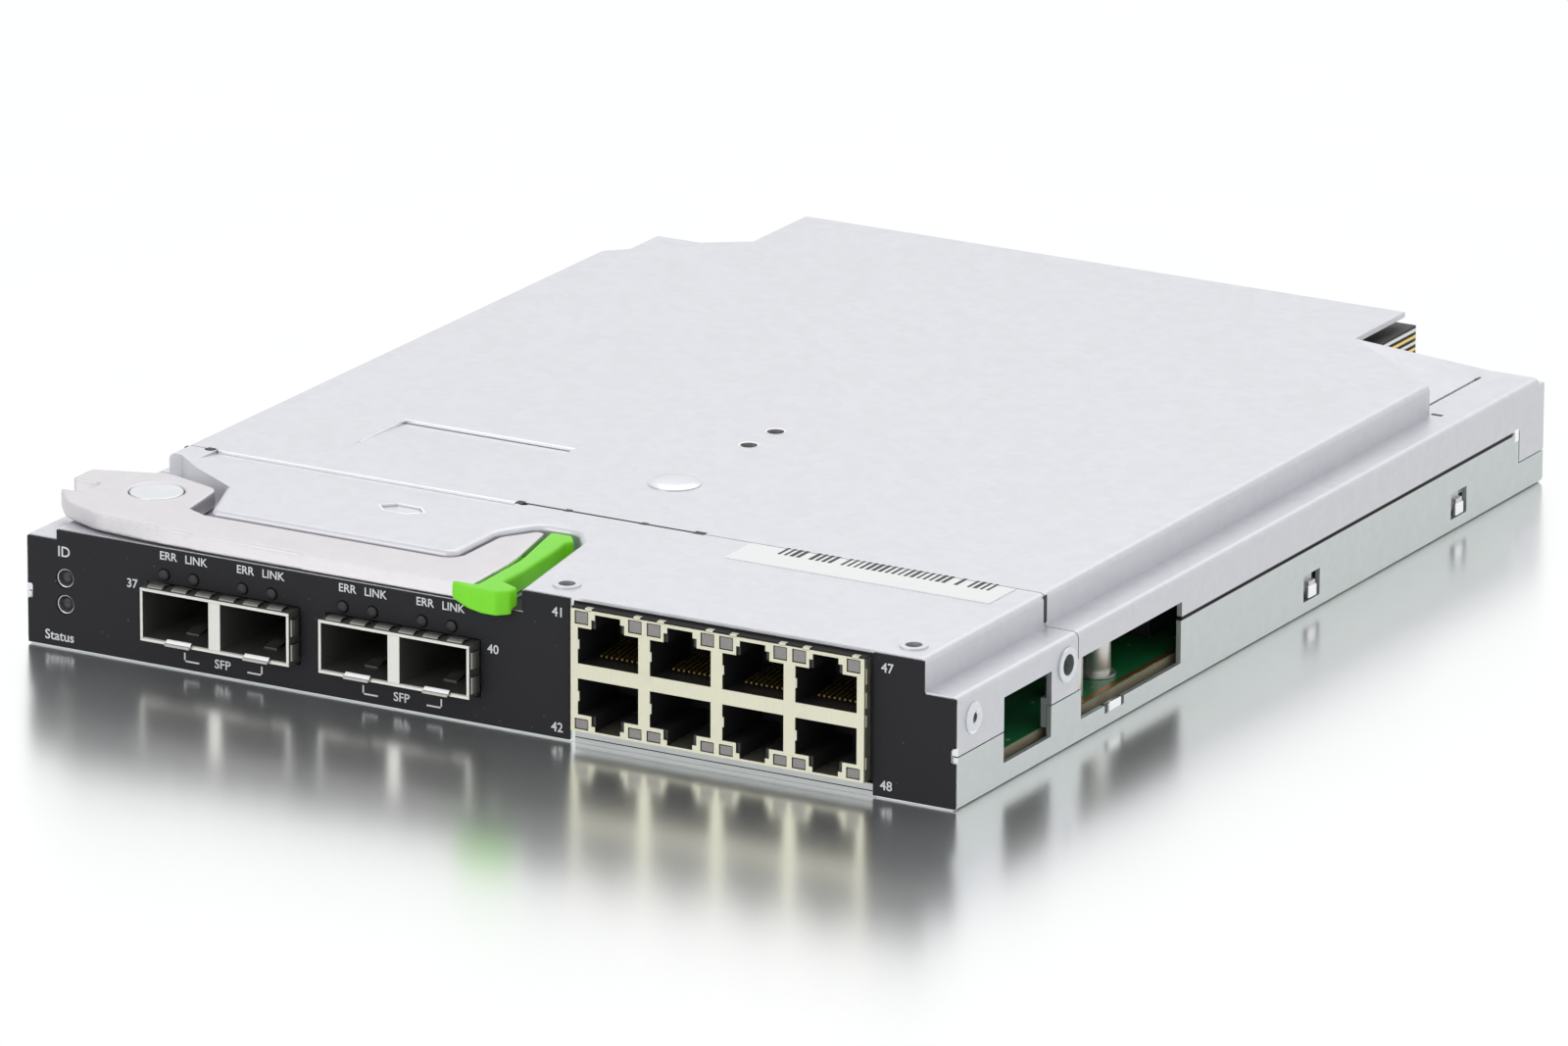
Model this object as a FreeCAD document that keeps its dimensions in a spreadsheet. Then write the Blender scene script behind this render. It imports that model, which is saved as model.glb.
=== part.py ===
import FreeCAD, Part
import os
import Sketcher
from types import SimpleNamespace

os.makedirs("parts", exist_ok=True)
doc = FreeCAD.newDocument("blade_switch_module")

# Sizes in millimetres: X from the left edge, Y from the front plane, Z from the underside
SIZES = {
    # Overall sheet metal
    "module_width": 187.0,
    "module_depth": 221.0,
    "plateau_height": 26.2,
    "shoulder_height": 20.3,
    "shoulder_width": 6.5,
    "sheet_thickness": 1.0,
    "bend_radius": 1.2,
    "seam_gap": 0.25,
    "overlap_gap": 0.1,
    "front_length": 42.4,
    # Base tray
    "tray_front_wall": 9.6,
    "tray_sill": 4.2,
    "tray_wall": 12.2,
    "tray_end_wall": 6.2,
    "tray_end_start_inset": 10.0,
    "tray_lip_height": 2.4,
    "tray_lip_inset": 9.0,
    "big_window_front": 43.7,
    "big_window_rear": 80.2,
    "big_window_top": 15.4,
    "small_window_front": 16.1,
    "small_window_rear": 33.0,
    "small_window_bottom": 4.1,
    "small_window_top": 15.9,
    "hook_slot_first": 126.5,
    "hook_slot_second_inset": 37.0,
    "hook_slot_width": 6.2,
    "hook_slot_bottom": 2.6,
    "hook_slot_height": 4.9,
    "hook_width": 3.4,
    "hook_drop": 8.4,
    "hook_nose_width": 2.4,
    "hook_nose_base": 1.2,
    "hook_nose_height": 2.2,
    "sill_tab_front": 53.0,
    "sill_tab_rear": 58.8,
    "sill_notch_width": 1.2,
    "sill_notch_depth": 1.5,
    "flange_bottom": 5.6,
    # Rear of the cover
    "step_end_inset": 33.5,
    "tongue_left": 28.5,
    "tongue_right_inset": 31.8,
    "tongue_start_inset": 14.0,
    "tongue_reach": 6.0,
    "corner_end_inset": 2.0,
    "rear_slit_inset": 9.4,
    "rear_slit_width": 0.6,
    "rear_bridge": 4.5,
    # Cover details
    "recess_left": 31.9,
    "recess_right": 67.4,
    "recess_front": 58.0,
    "recess_rear": 75.6,
    "recess_depth": 0.7,
    "seam_ramp_left": 13.0,
    "seam_ramp_right": 75.4,
    "seam_ramp_front": 36.5,
    "stud_x": 93.2,
    "stud_y": 66.1,
    "stud_radius": 4.8,
    "stud_rise": 0.7,
    "stud_rim": 0.25,
    "stud_crown": 2.9,
    "stud_stem": 2.0,
    "stud_stem_length": 4.0,
    "slide_fit": 0.1,
    "cover_hole_x": 92.9,
    "cover_hole_front": 92.9,
    "cover_hole_rear": 102.5,
    "cover_hole_radius": 1.7,
    "relief_radius": 1.1,
    "relief_left": 11.7,
    "relief_right": 76.4,
    # Extruded thread holes near the front edge
    "thread_left_inset": 79.9,
    "thread_right_inset": 11.6,
    "thread_y": 5.2,
    "thread_radius": 1.5,
    "collar_radius": 2.5,
    "collar_rise": 0.3,
    "collar_drop": 1.4,
    # Stamped mark on the front plate
    "dimple_inset": 127.5,
    "dimple_y": 29.0,
    "dimple_length": 9.0,
    "dimple_width": 4.6,
    "dimple_depth": 0.5,
    # Lever recess
    "recess_floor": 22.0,
    "bay_right_front_inset": 85.8,
    "bay_right_mid_inset": 90.1,
    "bay_mid_y": 27.6,
    "bay_rear_right_inset": 94.0,
    "bay_rear_y": 33.0,
    "bay_rear_left_inset": 101.8,
    "bay_step_inset": 106.2,
    "bay_step_y": 26.0,
    "bay_back": 11.3,
    "bay_hub_x": 31.2,
    "bay_hub_top_x": 25.8,
    "bay_hub_top_y": 25.2,
    "bay_crown_x": 15.5,
    "bay_crown_y": 31.6,
    "bay_left_x": 9.0,
    "bay_left_y": 36.8,
    "bay_corner": 4.0,
    "bay_step_corner": 2.4,
    "bay_hub_corner": 1.6,
    "bay_rim": 1.0,
    # Ejector lever
    "lever_lift": 0.3,
    "lever_thickness": 3.2,
    "pivot_x": 15.7,
    "pivot_y": 18.0,
    "pivot_radius": 3.0,
    "pivot_fit": 0.05,
    "pivot_head_radius": 4.8,
    "pivot_head_height": 1.0,
    "pivot_head_fit": 0.2,
    "pivot_foot_height": 1.0,
    "washer_radius": 5.2,
    "lever_front": -0.5,
    "lever_back": 10.4,
    "lever_end_front_inset": 95.4,
    "lever_end_mid_inset": 96.1,
    "lever_end_mid_y": 15.0,
    "lever_end_rear_inset": 99.7,
    "lever_end_rear_y": 31.0,
    "lever_step_inset": 105.4,
    "lever_step_y": 25.4,
    "lever_shoulder_inset": 101.2,
    "lever_shoulder_y": 31.6,
    "arm_start": 14.0,
    "hub_front_x": 2.4,
    "hub_front_y": 16.6,
    "hub_corner_x": 10.7,
    "hub_corner_y": 13.2,
    "hub_left_x": 15.2,
    "hub_left_y": 7.6,
    "hub_tail_x": 8.4,
    "hub_tail_y": 8.6,
    "hub_crown_x": 3.0,
    "hub_crown_y": 10.2,
    "hub_back_x": 8.6,
    "hub_back_y": 6.6,
    "hub_neck_x": 10.4,
    "hub_neck_y": 5.6,
    "hub_waist_x": 14.6,
    "hub_round": 9.0,
    "lever_round": 3.0,
    "claw_round": 1.0,
    "claw_gap_front": 11.0,
    "claw_gap_rear": 17.4,
    "claw_depth": 4.6,
    "claw_tip": -1.3,
    "claw_rear": 23.6,
    "latch_slot_front": 11.6,
    "latch_slot_rear": 20.4,
    "latch_slot_depth": 8.6,
    "latch_slot_skin": 0.8,
    # Release latch
    "latch_gap": 1.15,
    "latch_fit": 0.2,
    "latch_stem_width": 3.2,
    "latch_tongue": 5.6,
    "latch_rise": 0.4,
    "latch_head_front": -3.6,
    "latch_head_left_inset": 98.8,
    "latch_head_right_inset": 87.1,
    "latch_head_drop": 0.9,
    "latch_head_gap": 0.45,
    "latch_head_tail": 2.4,
    "stem_bend": 6.0,
    "stem_lean": 0.8,
    "tail_run": 4.0,
    "tail_lean": 0.9,
    "tail_hook": 1.6,
    "tail_round": 1.8,
    "head_chamfer": 1.6,
    "head_slope": 4.0,
    "head_corner": 2.0,
    "head_tail_drop": 1.6,
    "head_tail_run": 3.2,
    "latch_tail_rear": 31.4,
    "latch_tail_front": 27.2,
    "latch_tail_right_inset": 92.4,
    "spring_radius": 0.55,
    "spring_inset": 2.4,
    # Black front overlay
    "overlay_thickness": 0.4,
    "overlay_edge": 0.4,
    "overlay_jack_gap": 1.4,
    "overlay_notch_bottom": 8.4,
    "overlay_notch_top": 11.2,
    "overlay_notch_depth": 1.0,
    "overlay_low_top": 19.9,
    "lamp_x": 8.1,
    "lamp_upper_z": 13.1,
    "lamp_lower_z": 8.3,
    "lamp_radius": 1.75,
    "lamp_holder_left": 4.6,
    "lamp_holder_width": 7.0,
    "lamp_holder_depth": 6.0,
    "lamp_holder_top": 16.0,
    "lamp_recess": 0.2,
    "port_lamp_z": 17.1,
    "port_lamp_radius": 1.05,
    "port_lamp_offset": 3.1,
    "port_lamp_pitch": 6.0,
    "port_lamp_group": 16.0,
    "port_lamp_rise": 0.9,
    "port_lamp_length": 12.0,
    "lamp_fit": 0.12,
    "carrier_inset": 1.5,
    "carrier_front": 2.0,
    "carrier_depth": 8.0,
    # Pluggable module cages
    "cage_left_x": 25.7,
    "cage_right_x": 62.2,
    "cage_width": 30.5,
    "cage_bottom": 5.5,
    "cage_top": 15.2,
    "cage_front": -3.5,
    "cage_length": 48.0,
    "cage_wall": 0.45,
    "cage_divider": 2.4,
    "cage_floor": 0.7,
    "cage_margin": 0.45,
    "cage_back_wall": 0.5,
    "cage_tab_width": 5.0,
    "cage_tab_shift": 0.7,
    "cage_tab_length": 0.9,
    "cage_tab_height": 0.5,
    "cage_leg": 1.2,
    "finger_width": 3.0,
    "finger_pitch": 4.9,
    "finger_height": 0.35,
    "finger_length": 2.6,
    "finger_start": 1.2,
    "finger_setback": 0.4,
    "side_finger_base": 0.9,
    "side_finger_pitch": 4.5,
    "plug_width": 11.6,
    "plug_length": 12.0,
    "plug_height": 6.0,
    "plug_slot_height": 1.4,
    "plug_slot_depth": 7.0,
    # Stacked network jack
    "jack_inset": 74.8,
    "jack_width": 57.8,
    "jack_bottom": 2.9,
    "jack_top": 25.0,
    "jack_front": -2.3,
    "jack_rear": 24.0,
    "jack_wall": 0.35,
    "jack_fit": 0.05,
    "jack_side": 1.45,
    "jack_pitch": 14.3,
    "jack_opening": 12.0,
    "jack_mid_bottom": 12.5,
    "jack_mid_top": 15.2,
    "jack_port_height": 6.5,
    "jack_key_offset": 3.4,
    "jack_key_width": 5.0,
    "jack_key_height": 2.7,
    "jack_depth": 14.0,
    "jack_lamp_width": 2.4,
    "jack_lamp_height": 1.5,
    "jack_lamp_depth": 3.0,
    "jack_lamp_inset": 0.9,
    "jack_lamp_side": 0.5,
    "jack_cutout_margin": 0.7,
    "jack_ear_width": 3.6,
    "jack_ear_length": 8.0,
    "jack_ear_y": 14.0,
    "wire_pitch": 1.02,
    "wire_width": 0.35,
    "wire_front": 1.6,
    "wire_rise": 1.2,
    "wire_lift": 0.4,
    # Main board and supports
    "board_bottom": 3.1,
    "board_thickness": 2.0,
    "board_inset": 2.6,
    "board_front": 3.2,
    "board_rear_inset": 8.0,
    "board_jack_margin": 0.8,
    "post_radius": 3.0,
    "post_bore": 1.5,
    "screw_radius": 1.4,
    "screw_head_radius": 2.6,
    "screw_head_height": 1.6,
    "post_inset_x": 14.0,
    "post_front_y": 60.0,
    "post_mid_y": 130.0,
    "post_rear_inset": 25.0,
    "tall_post_inset": 8.0,
    "tall_post_y": 52.0,
    "tall_post_radius": 3.4,
    # Side rivets and clinch nuts
    "rivet_y": 5.3,
    "rivet_z": 15.4,
    "rivet_radius": 2.8,
    "rivet_rise": 0.7,
    "rivet_shank": 1.6,
    "rivet_length": 4.0,
    "nut_y": 38.4,
    "nut_z": 15.6,
    "nut_rim_radius": 3.1,
    "nut_rim_rise": 0.4,
    "nut_thread_radius": 1.9,
    "nut_body_radius": 3.4,
    "nut_barrel_radius": 2.7,
    "nut_length": 3.6,
    # Sticker on the front plate
    "sticker_left_inset": 64.4,
    "sticker_right_inset": 12.0,
    "sticker_front": 32.4,
    "sticker_rear": 42.0,
    "sticker_thickness": 0.15,
    # Parts on the board
    "chip_x": 92.0,
    "chip_y": 112.0,
    "chip_size": 33.0,
    "chip_height": 3.0,
    "sink_size": 62.0,
    "sink_base": 3.0,
    "sink_fin_height": 11.0,
    "sink_fin_width": 1.4,
    "sink_fin_gap": 4.6,
    "phy_size": 17.0,
    "phy_height": 1.6,
    "phy_start": 1.0,
    "phy_pitch": 20.0,
    "phy_y": 42.0,
    "cpu_x": 40.0,
    "cpu_y": 150.0,
    "cpu_size": 23.0,
    "cpu_height": 2.0,
    "memory_width": 9.0,
    "memory_length": 13.0,
    "memory_height": 1.2,
    "memory_x": 28.0,
    "memory_pitch": 16.0,
    "memory_y": 122.0,
    "coil_size": 10.0,
    "coil_height": 5.0,
    "coil_inset": 51.0,
    "coil_rear_inset": 49.0,
    "coil_pitch": 14.0,
    "can_radius": 3.2,
    "can_height": 6.0,
    "can_rear_inset": 31.0,
    "can_inset": 53.0,
    "can_pitch": 9.0,
    # Connectors at the rear edge
    "plug_first_x": 34.0,
    "plug_gap": 4.0,
    "plug_clearance": 13.0,
    "plug_block_front_inset": 17.0,
    "plug_block_reach": 7.0,
    "plug_block_height": 13.6,
    "plug_hood_front_inset": 0.6,
    "plug_hood_height": 18.6,
    "plug_cell": 2.0,
    "plug_cell_wall": 1.0,
    "plug_cell_depth": 6.0,
    "plug_cell_base": 2.4,
    "power_inset": 54.0,
    "power_width": 24.0,
    "blade_inset": 5.0,
    "blade_base": 4.8,
    "blade_width": 0.8,
    "blade_pitch": 6.5,
    "blade_height": 8.0,
    "blade_length": 10.0,
}

sheet = doc.addObject("Spreadsheet::Sheet", "Sizes")
for row, (alias, value) in enumerate(SIZES.items(), start=1):
    sheet.set("A%d" % row, alias)
    sheet.set("B%d" % row, str(value))
    sheet.setAlias("B%d" % row, alias)
doc.recompute()


class Size:
    """A length carried together with the sheet expression that yields it."""

    def __init__(self, value, text):
        self.value = float(value)
        self.text = text

    def __add__(self, other):
        other = sized(other)
        return Size(self.value + other.value, "(%s + %s)" % (self.text, other.text))

    def __radd__(self, other):
        return sized(other) + self

    def __sub__(self, other):
        other = sized(other)
        return Size(self.value - other.value, "(%s - %s)" % (self.text, other.text))

    def __rsub__(self, other):
        return sized(other) - self

    def __mul__(self, other):
        other = sized(other)
        return Size(self.value * other.value, "(%s * %s)" % (self.text, other.text))

    def __rmul__(self, other):
        return sized(other) * self

    def __truediv__(self, other):
        other = sized(other)
        return Size(self.value / other.value, "(%s / %s)" % (self.text, other.text))


def sized(number):
    """Return a Size for a plain number and leave a Size as it is."""
    if isinstance(number, Size):
        return number
    return Size(number, "(%r)" % float(number))


D = SimpleNamespace(**{alias: Size(value, "Sizes." + alias) for alias, value in SIZES.items()})
HALF_WIDTH = D.module_width / 2
HALF_DEPTH = D.module_depth / 2
ZERO = sized(0)
RIGHT = D.module_width
FINISHED = []


def bind(item, path, size):
    """Tie one property of an object to its sheet expression."""
    item.setExpression(path, sized(size).text)


def finish(item, label):
    """Give a finished piece its label and list it for export."""
    item.Label = label
    FINISHED.append(item)
    return item


def new_body(name):
    """Start an empty body for one piece."""
    return doc.addObject("PartDesign::Body", name + "_body")


def add_loop(sketch, corners):
    """Draw a closed polygon whose corners are all held by named sizes."""
    first = sketch.GeometryCount
    count = len(corners)
    points = [FreeCAD.Vector(sized(x).value, sized(y).value, 0) for x, y in corners]
    sketch.addGeometry([Part.LineSegment(points[i], points[(i + 1) % count]) for i in range(count)], False)
    rules = []
    for i in range(count):
        rules.append(Sketcher.Constraint("Coincident", first + i, 2, first + (i + 1) % count, 1))
    for i, (x, y) in enumerate(corners):
        for kind, word, size in (("DistanceX", "across", x), ("DistanceY", "along", y)):
            rule = Sketcher.Constraint(kind, -1, 1, first + i, 1, sized(size).value)
            rule.Name = "%s_%d" % (word, first + i)
            rules.append(rule)
    sketch.addConstraint(rules)
    for i, (x, y) in enumerate(corners):
        bind(sketch, "Constraints.across_%d" % (first + i), x)
        bind(sketch, "Constraints.along_%d" % (first + i), y)


def add_circle(sketch, x, y, radius):
    """Draw a circle held by its centre and radius."""
    x, y, radius = sized(x), sized(y), sized(radius)
    up = FreeCAD.Vector(0, 0, 1)
    number = sketch.addGeometry(Part.Circle(FreeCAD.Vector(x.value, y.value, 0), up, radius.value), False)
    across = Sketcher.Constraint("DistanceX", -1, 1, number, 3, x.value)
    across.Name = "across_%d" % number
    along = Sketcher.Constraint("DistanceY", -1, 1, number, 3, y.value)
    along.Name = "along_%d" % number
    size = Sketcher.Constraint("Radius", number, radius.value)
    size.Name = "radius_%d" % number
    sketch.addConstraint([across, along, size])
    bind(sketch, "Constraints.across_%d" % number, x)
    bind(sketch, "Constraints.along_%d" % number, y)
    bind(sketch, "Constraints.radius_%d" % number, radius)


def plan(body, plane, place, loops=(), circles=()):
    """Sketch loops and circles on an origin plane of the body, moved to a height, depth or width."""
    sketch = body.newObject("Sketcher::SketchObject", "Sketch")
    base = [item for item in body.Origin.OriginFeatures if item.Role == plane][0]
    sketch.AttachmentSupport = [(base, "")]
    sketch.MapMode = "FlatFace"
    shift = {
        "XY_Plane": (ZERO - HALF_WIDTH, ZERO - HALF_DEPTH, sized(place)),
        "XZ_Plane": (ZERO - HALF_WIDTH, ZERO, HALF_DEPTH - place),
        "YZ_Plane": (ZERO - HALF_DEPTH, ZERO, sized(place) - HALF_WIDTH),
    }[plane]
    for axis, size in zip("xyz", shift):
        bind(sketch, "AttachmentOffset.Base." + axis, size)
    for loop in loops:
        add_loop(sketch, loop)
    for x, y, radius in circles:
        add_circle(sketch, x, y, radius)
    doc.recompute()
    return sketch


def rect(left, right, low, high):
    """Return the corners of an upright rectangle."""
    return [(left, low), (right, low), (right, high), (left, high)]


def volume(body):
    """Return the present volume of a body, or nought before its first feature."""
    return body.Shape.Volume if body.Tip and not body.Shape.isNull() else 0.0


def pad(body, sketch, length, backwards=False):
    """Add material along the sketch normal, or against it."""
    before = volume(body)
    feature = body.newObject("PartDesign::Pad", "Pad")
    feature.Profile = sketch
    bind(feature, "Length", length)
    feature.Reversed = backwards
    doc.recompute()
    if volume(body) <= before:
        raise RuntimeError("a pad added nothing to " + body.Name)
    return feature


def pocket(body, sketch, length=None, backwards=False):
    """Cut to a length against the sketch normal, or through everything both ways."""
    before = volume(body)
    feature = body.newObject("PartDesign::Pocket", "Pocket")
    feature.Profile = sketch
    if length is None:
        feature.Type = "ThroughAll"
        feature.SideType = "Symmetric"
    else:
        bind(feature, "Length", length)
        feature.Reversed = backwards
    doc.recompute()
    if volume(body) >= before:
        raise RuntimeError("a pocket cut nothing from " + body.Name)
    return feature


def mirror(body, features):
    """Repeat features on the other side of the middle plane."""
    copy = body.newObject("PartDesign::Mirrored", "Mirrored")
    copy.Originals = features
    middle = [item for item in body.Origin.OriginFeatures if item.Role == "YZ_Plane"][0]
    copy.MirrorPlane = (middle, [""])
    body.Tip = copy
    doc.recompute()
    return copy


def repeat(body, features, axis, spacing, count, rows=None):
    """Repeat features along an origin axis at a fixed spacing, and again at a wider one."""
    row = body.newObject("PartDesign::LinearPattern", "LinearPattern")
    row.Originals = features
    line = [item for item in body.Origin.OriginFeatures if item.Role == axis][0]
    row.Direction = (line, [""])
    row.Mode = "Extent"
    row.Occurrences = count
    bind(row, "Length", spacing * (count - 1))
    if rows:
        wider, groups = rows
        row.Direction2 = (line, [""])
        row.Mode2 = "Extent"
        row.Occurrences2 = groups
        bind(row, "Length2", wider * (groups - 1))
    body.Tip = row
    doc.recompute()
    return row


def straight_edges(shape, axis, spots):
    """Name the edges that run along an axis through the given spots of the other two."""
    offset = (HALF_WIDTH.value, HALF_DEPTH.value, 0.0)
    others = [i for i in range(3) if i != axis]
    wanted = [tuple(sized(s).value - offset[i] for s, i in zip(spot, others)) for spot in spots]
    names = []
    for number, edge in enumerate(shape.Edges, start=1):
        if len(edge.Vertexes) < 2:
            continue
        first = edge.Vertexes[0].Point
        travel = edge.Vertexes[1].Point - first
        if max(abs(travel[i]) for i in others) > 1e-5:
            continue
        for spot in wanted:
            if max(abs(first[i] - s) for i, s in zip(others, spot)) < 1e-3:
                names.append("Edge%d" % number)
                break
    return names


def rounded(body, radius, axis, spots):
    """Round the edges that run along an axis through the given spots."""
    names = straight_edges(body.Tip.Shape, axis, spots)
    if not names:
        raise RuntimeError("no edge to round on " + body.Name)
    feature = body.newObject("PartDesign::Fillet", "Fillet")
    feature.Base = (body.Tip if body.Tip != feature else feature.BaseFeature, names)
    bind(feature, "Radius", radius)
    doc.recompute()
    if "Invalid" in feature.State or feature.Shape.isNull():
        raise RuntimeError("a rounding failed on " + body.Name)
    return feature


def box(low, size):
    """Make a block from its low corner and its three lengths."""
    block = doc.addObject("Part::Box", "Block")
    for name, length in zip(("Length", "Width", "Height"), size):
        bind(block, name, length)
    for axis, spot, shift in zip("xyz", low, (HALF_WIDTH, HALF_DEPTH, ZERO)):
        bind(block, "Placement.Base." + axis, sized(spot) - shift)
    return block


TURNS = {
    "x": FreeCAD.Rotation(FreeCAD.Vector(0, 1, 0), 90),
    "y": FreeCAD.Rotation(FreeCAD.Vector(1, 0, 0), -90),
    "z": FreeCAD.Rotation(),
}


def aimed(item, start, length, axis):
    """Run a bar along an axis from a start point."""
    bind(item, "Height", length)
    item.Placement = FreeCAD.Placement(FreeCAD.Vector(), TURNS[axis])
    for name, spot, shift in zip("xyz", start, (HALF_WIDTH, HALF_DEPTH, ZERO)):
        bind(item, "Placement.Base." + name, sized(spot) - shift)
    return item


def rod(start, radius, length, axis="z"):
    """Make a round bar."""
    bar = doc.addObject("Part::Cylinder", "Rod")
    bind(bar, "Radius", radius)
    return aimed(bar, start, length, axis)


def flat_sided(start, radius, length, sides, axis="z"):
    """Make a bar with flat sides whose corners lie on a radius."""
    bar = doc.addObject("Part::Prism", "Prism")
    bar.Polygon = sides
    bind(bar, "Circumradius", radius)
    return aimed(bar, start, length, axis)


def join(items):
    """Fuse several solids into one."""
    fused = doc.addObject("Part::MultiFuse", "Joined")
    fused.Shapes = items
    fused.Refine = True
    return fused


def cut(base, tools):
    """Take several solids away from one."""
    trimmed = doc.addObject("Part::Cut", "Trimmed")
    trimmed.Base = base
    trimmed.Tool = tools[0] if len(tools) == 1 else join(tools)
    return trimmed


def group(items):
    """Hold several separate solids as one piece."""
    bundle = doc.addObject("Part::Compound", "Group")
    bundle.Links = items
    return bundle


def near(size):
    """Return a distance from the left edge as a place."""
    return size


def far(size):
    """Return the place on the right that matches a distance from the left edge."""
    return RIGHT - size


def rear(size):
    """Return the place that lies a distance ahead of the rear edge."""
    return D.module_depth - size


# Shared heights and places
TOP = D.plateau_height
SHEET = D.sheet_thickness
SHOULDER = D.shoulder_height
STEP = D.shoulder_width
BOARD_TOP = D.board_bottom + D.board_thickness
FRONT_SEAM = D.front_length
COVER_START = D.front_length + D.seam_gap
CAGE_STARTS = (D.cage_left_x, D.cage_right_x)
SIDE_SEAM = D.tray_wall + D.seam_gap
JOGGLE = D.tray_front_wall + D.seam_gap
LEVER_BOTTOM = D.recess_floor + D.lever_lift
LEVER_TOP = LEVER_BOTTOM + D.lever_thickness
JACK_X = far(D.jack_inset)
JACK_END = JACK_X + D.jack_width
JACK_FIRST = JACK_X + D.jack_side
STEP_END = rear(D.step_end_inset)
TONGUE_START = rear(D.tongue_start_inset)
CORNER_END = rear(D.corner_end_inset)
PLUG_REAR = D.module_depth + D.plug_block_reach
PLUG_TOP = BOARD_TOP + D.plug_hood_height

# How many of each repeated feature
BAYS = 2
PORTS = 4
WIRES = 8
TOP_FINGERS = 6
SIDE_FINGERS = 2
HEX_SIDES = 6
CAN_SIDES = 12
PIPE_SIDES = 16

# Base tray: floor, side walls with windows and hook slots, and a rear lip
tray = new_body("base_tray")
floor = plan(tray, "XY_Plane", ZERO, [rect(ZERO, RIGHT, ZERO, D.module_depth)])
pad(tray, floor, SHEET)
wall_line = [
    (ZERO, ZERO),
    (D.module_depth, ZERO),
    (D.module_depth, D.tray_end_wall),
    (rear(D.tray_end_start_inset), D.tray_end_wall),
    (rear(D.tray_end_start_inset), D.tray_wall),
    (D.big_window_rear, D.tray_wall),
    (D.big_window_rear, D.tray_sill),
    (D.big_window_front, D.tray_sill),
    (D.big_window_front, D.tray_front_wall),
    (ZERO, D.tray_front_wall),
]
wall = pad(tray, plan(tray, "YZ_Plane", RIGHT, [wall_line]), SHEET, backwards=True)
mirror(tray, [wall])
lip_line = rect(D.tray_lip_inset, far(D.tray_lip_inset), ZERO, D.tray_lip_height)
pad(tray, plan(tray, "XZ_Plane", D.module_depth, [lip_line]), SHEET)
rounded(tray, D.bend_radius, 1, [(ZERO, ZERO), (RIGHT, ZERO)])
SMALL_WINDOW = rect(D.small_window_front, D.small_window_rear, D.small_window_bottom, D.small_window_top)
pocket(tray, plan(tray, "YZ_Plane", HALF_WIDTH, [SMALL_WINDOW]))
hook_slots = [
    rect(start, start + D.hook_slot_width, D.hook_slot_bottom, D.hook_slot_bottom + D.hook_slot_height)
    for start in (D.hook_slot_first, rear(D.hook_slot_second_inset))
]
pocket(tray, plan(tray, "YZ_Plane", HALF_WIDTH, hook_slots))
sill_notches = [
    rect(
        edge - D.sill_notch_width / 2,
        edge + D.sill_notch_width / 2,
        D.tray_sill - D.sill_notch_depth,
        D.tray_sill,
    )
    for edge in (D.sill_tab_front, D.sill_tab_rear)
]
pocket(tray, plan(tray, "YZ_Plane", HALF_WIDTH, sill_notches))
finish(tray, "base_tray")

# Front frame: folded hat section with joggled flanges and a pressed lever recess
frame = new_body("front_frame")
INNER = SHEET + D.overlap_gap
left_half = [
    (INNER, JOGGLE),
    (ZERO, JOGGLE),
    (ZERO, SHOULDER),
    (STEP, SHOULDER),
    (STEP, TOP),
]
left_inside = [
    (STEP + SHEET, TOP - SHEET),
    (STEP + SHEET, SHOULDER - SHEET),
    (SHEET, SHOULDER - SHEET),
    (SHEET, JOGGLE + SHEET),
    (INNER + SHEET, JOGGLE + SHEET),
    (INNER + SHEET, D.flange_bottom),
    (INNER, D.flange_bottom),
]
right_half = [(far(x), z) for x, z in reversed(left_half)]
right_inside = [(far(x), z) for x, z in reversed(left_inside)]
hat = plan(frame, "XZ_Plane", FRONT_SEAM, [left_half + right_half + right_inside + left_inside])
pad(frame, hat, FRONT_SEAM)
rounded(frame, D.bend_radius, 1, [(STEP, TOP), (far(STEP), TOP), (ZERO, SHOULDER), (RIGHT, SHOULDER)])
bowl_line = [
    (STEP, ZERO),
    (far(D.bay_right_front_inset) + SHEET, ZERO),
    (far(D.bay_right_mid_inset) + SHEET, D.bay_mid_y + SHEET),
    (far(D.bay_rear_right_inset) + SHEET, D.bay_rear_y + SHEET),
    (far(D.bay_rear_left_inset) - SHEET, D.bay_rear_y + SHEET),
    (far(D.bay_step_inset) - SHEET, D.bay_step_y + SHEET),
    (far(D.bay_step_inset) - SHEET, D.bay_back + SHEET),
    (D.bay_hub_x + SHEET, D.bay_back + SHEET),
    (D.bay_hub_top_x + SHEET, D.bay_hub_top_y + SHEET),
    (D.bay_crown_x, D.bay_crown_y + SHEET),
    (D.bay_left_x, D.bay_left_y + SHEET),
    (STEP, D.bay_left_y + SHEET),
]
bowl = plan(frame, "XY_Plane", D.recess_floor - SHEET, [bowl_line])
pad(frame, bowl, TOP - D.recess_floor)
OUTSIDE = ZERO - SHEET * 4
bay_line = [
    (OUTSIDE, OUTSIDE),
    (far(D.bay_right_front_inset), OUTSIDE),
    (far(D.bay_right_front_inset), ZERO),
    (far(D.bay_right_mid_inset), D.bay_mid_y),
    (far(D.bay_rear_right_inset), D.bay_rear_y),
    (far(D.bay_rear_left_inset), D.bay_rear_y),
    (far(D.bay_step_inset), D.bay_step_y),
    (far(D.bay_step_inset), D.bay_back),
    (D.bay_hub_x, D.bay_back),
    (D.bay_hub_top_x, D.bay_hub_top_y),
    (D.bay_crown_x, D.bay_crown_y),
    (D.bay_left_x, D.bay_left_y),
    (OUTSIDE, D.bay_left_y),
]
bay = plan(frame, "XY_Plane", TOP + SHEET, [bay_line])
pocket(frame, bay, TOP + SHEET - D.recess_floor)
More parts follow.
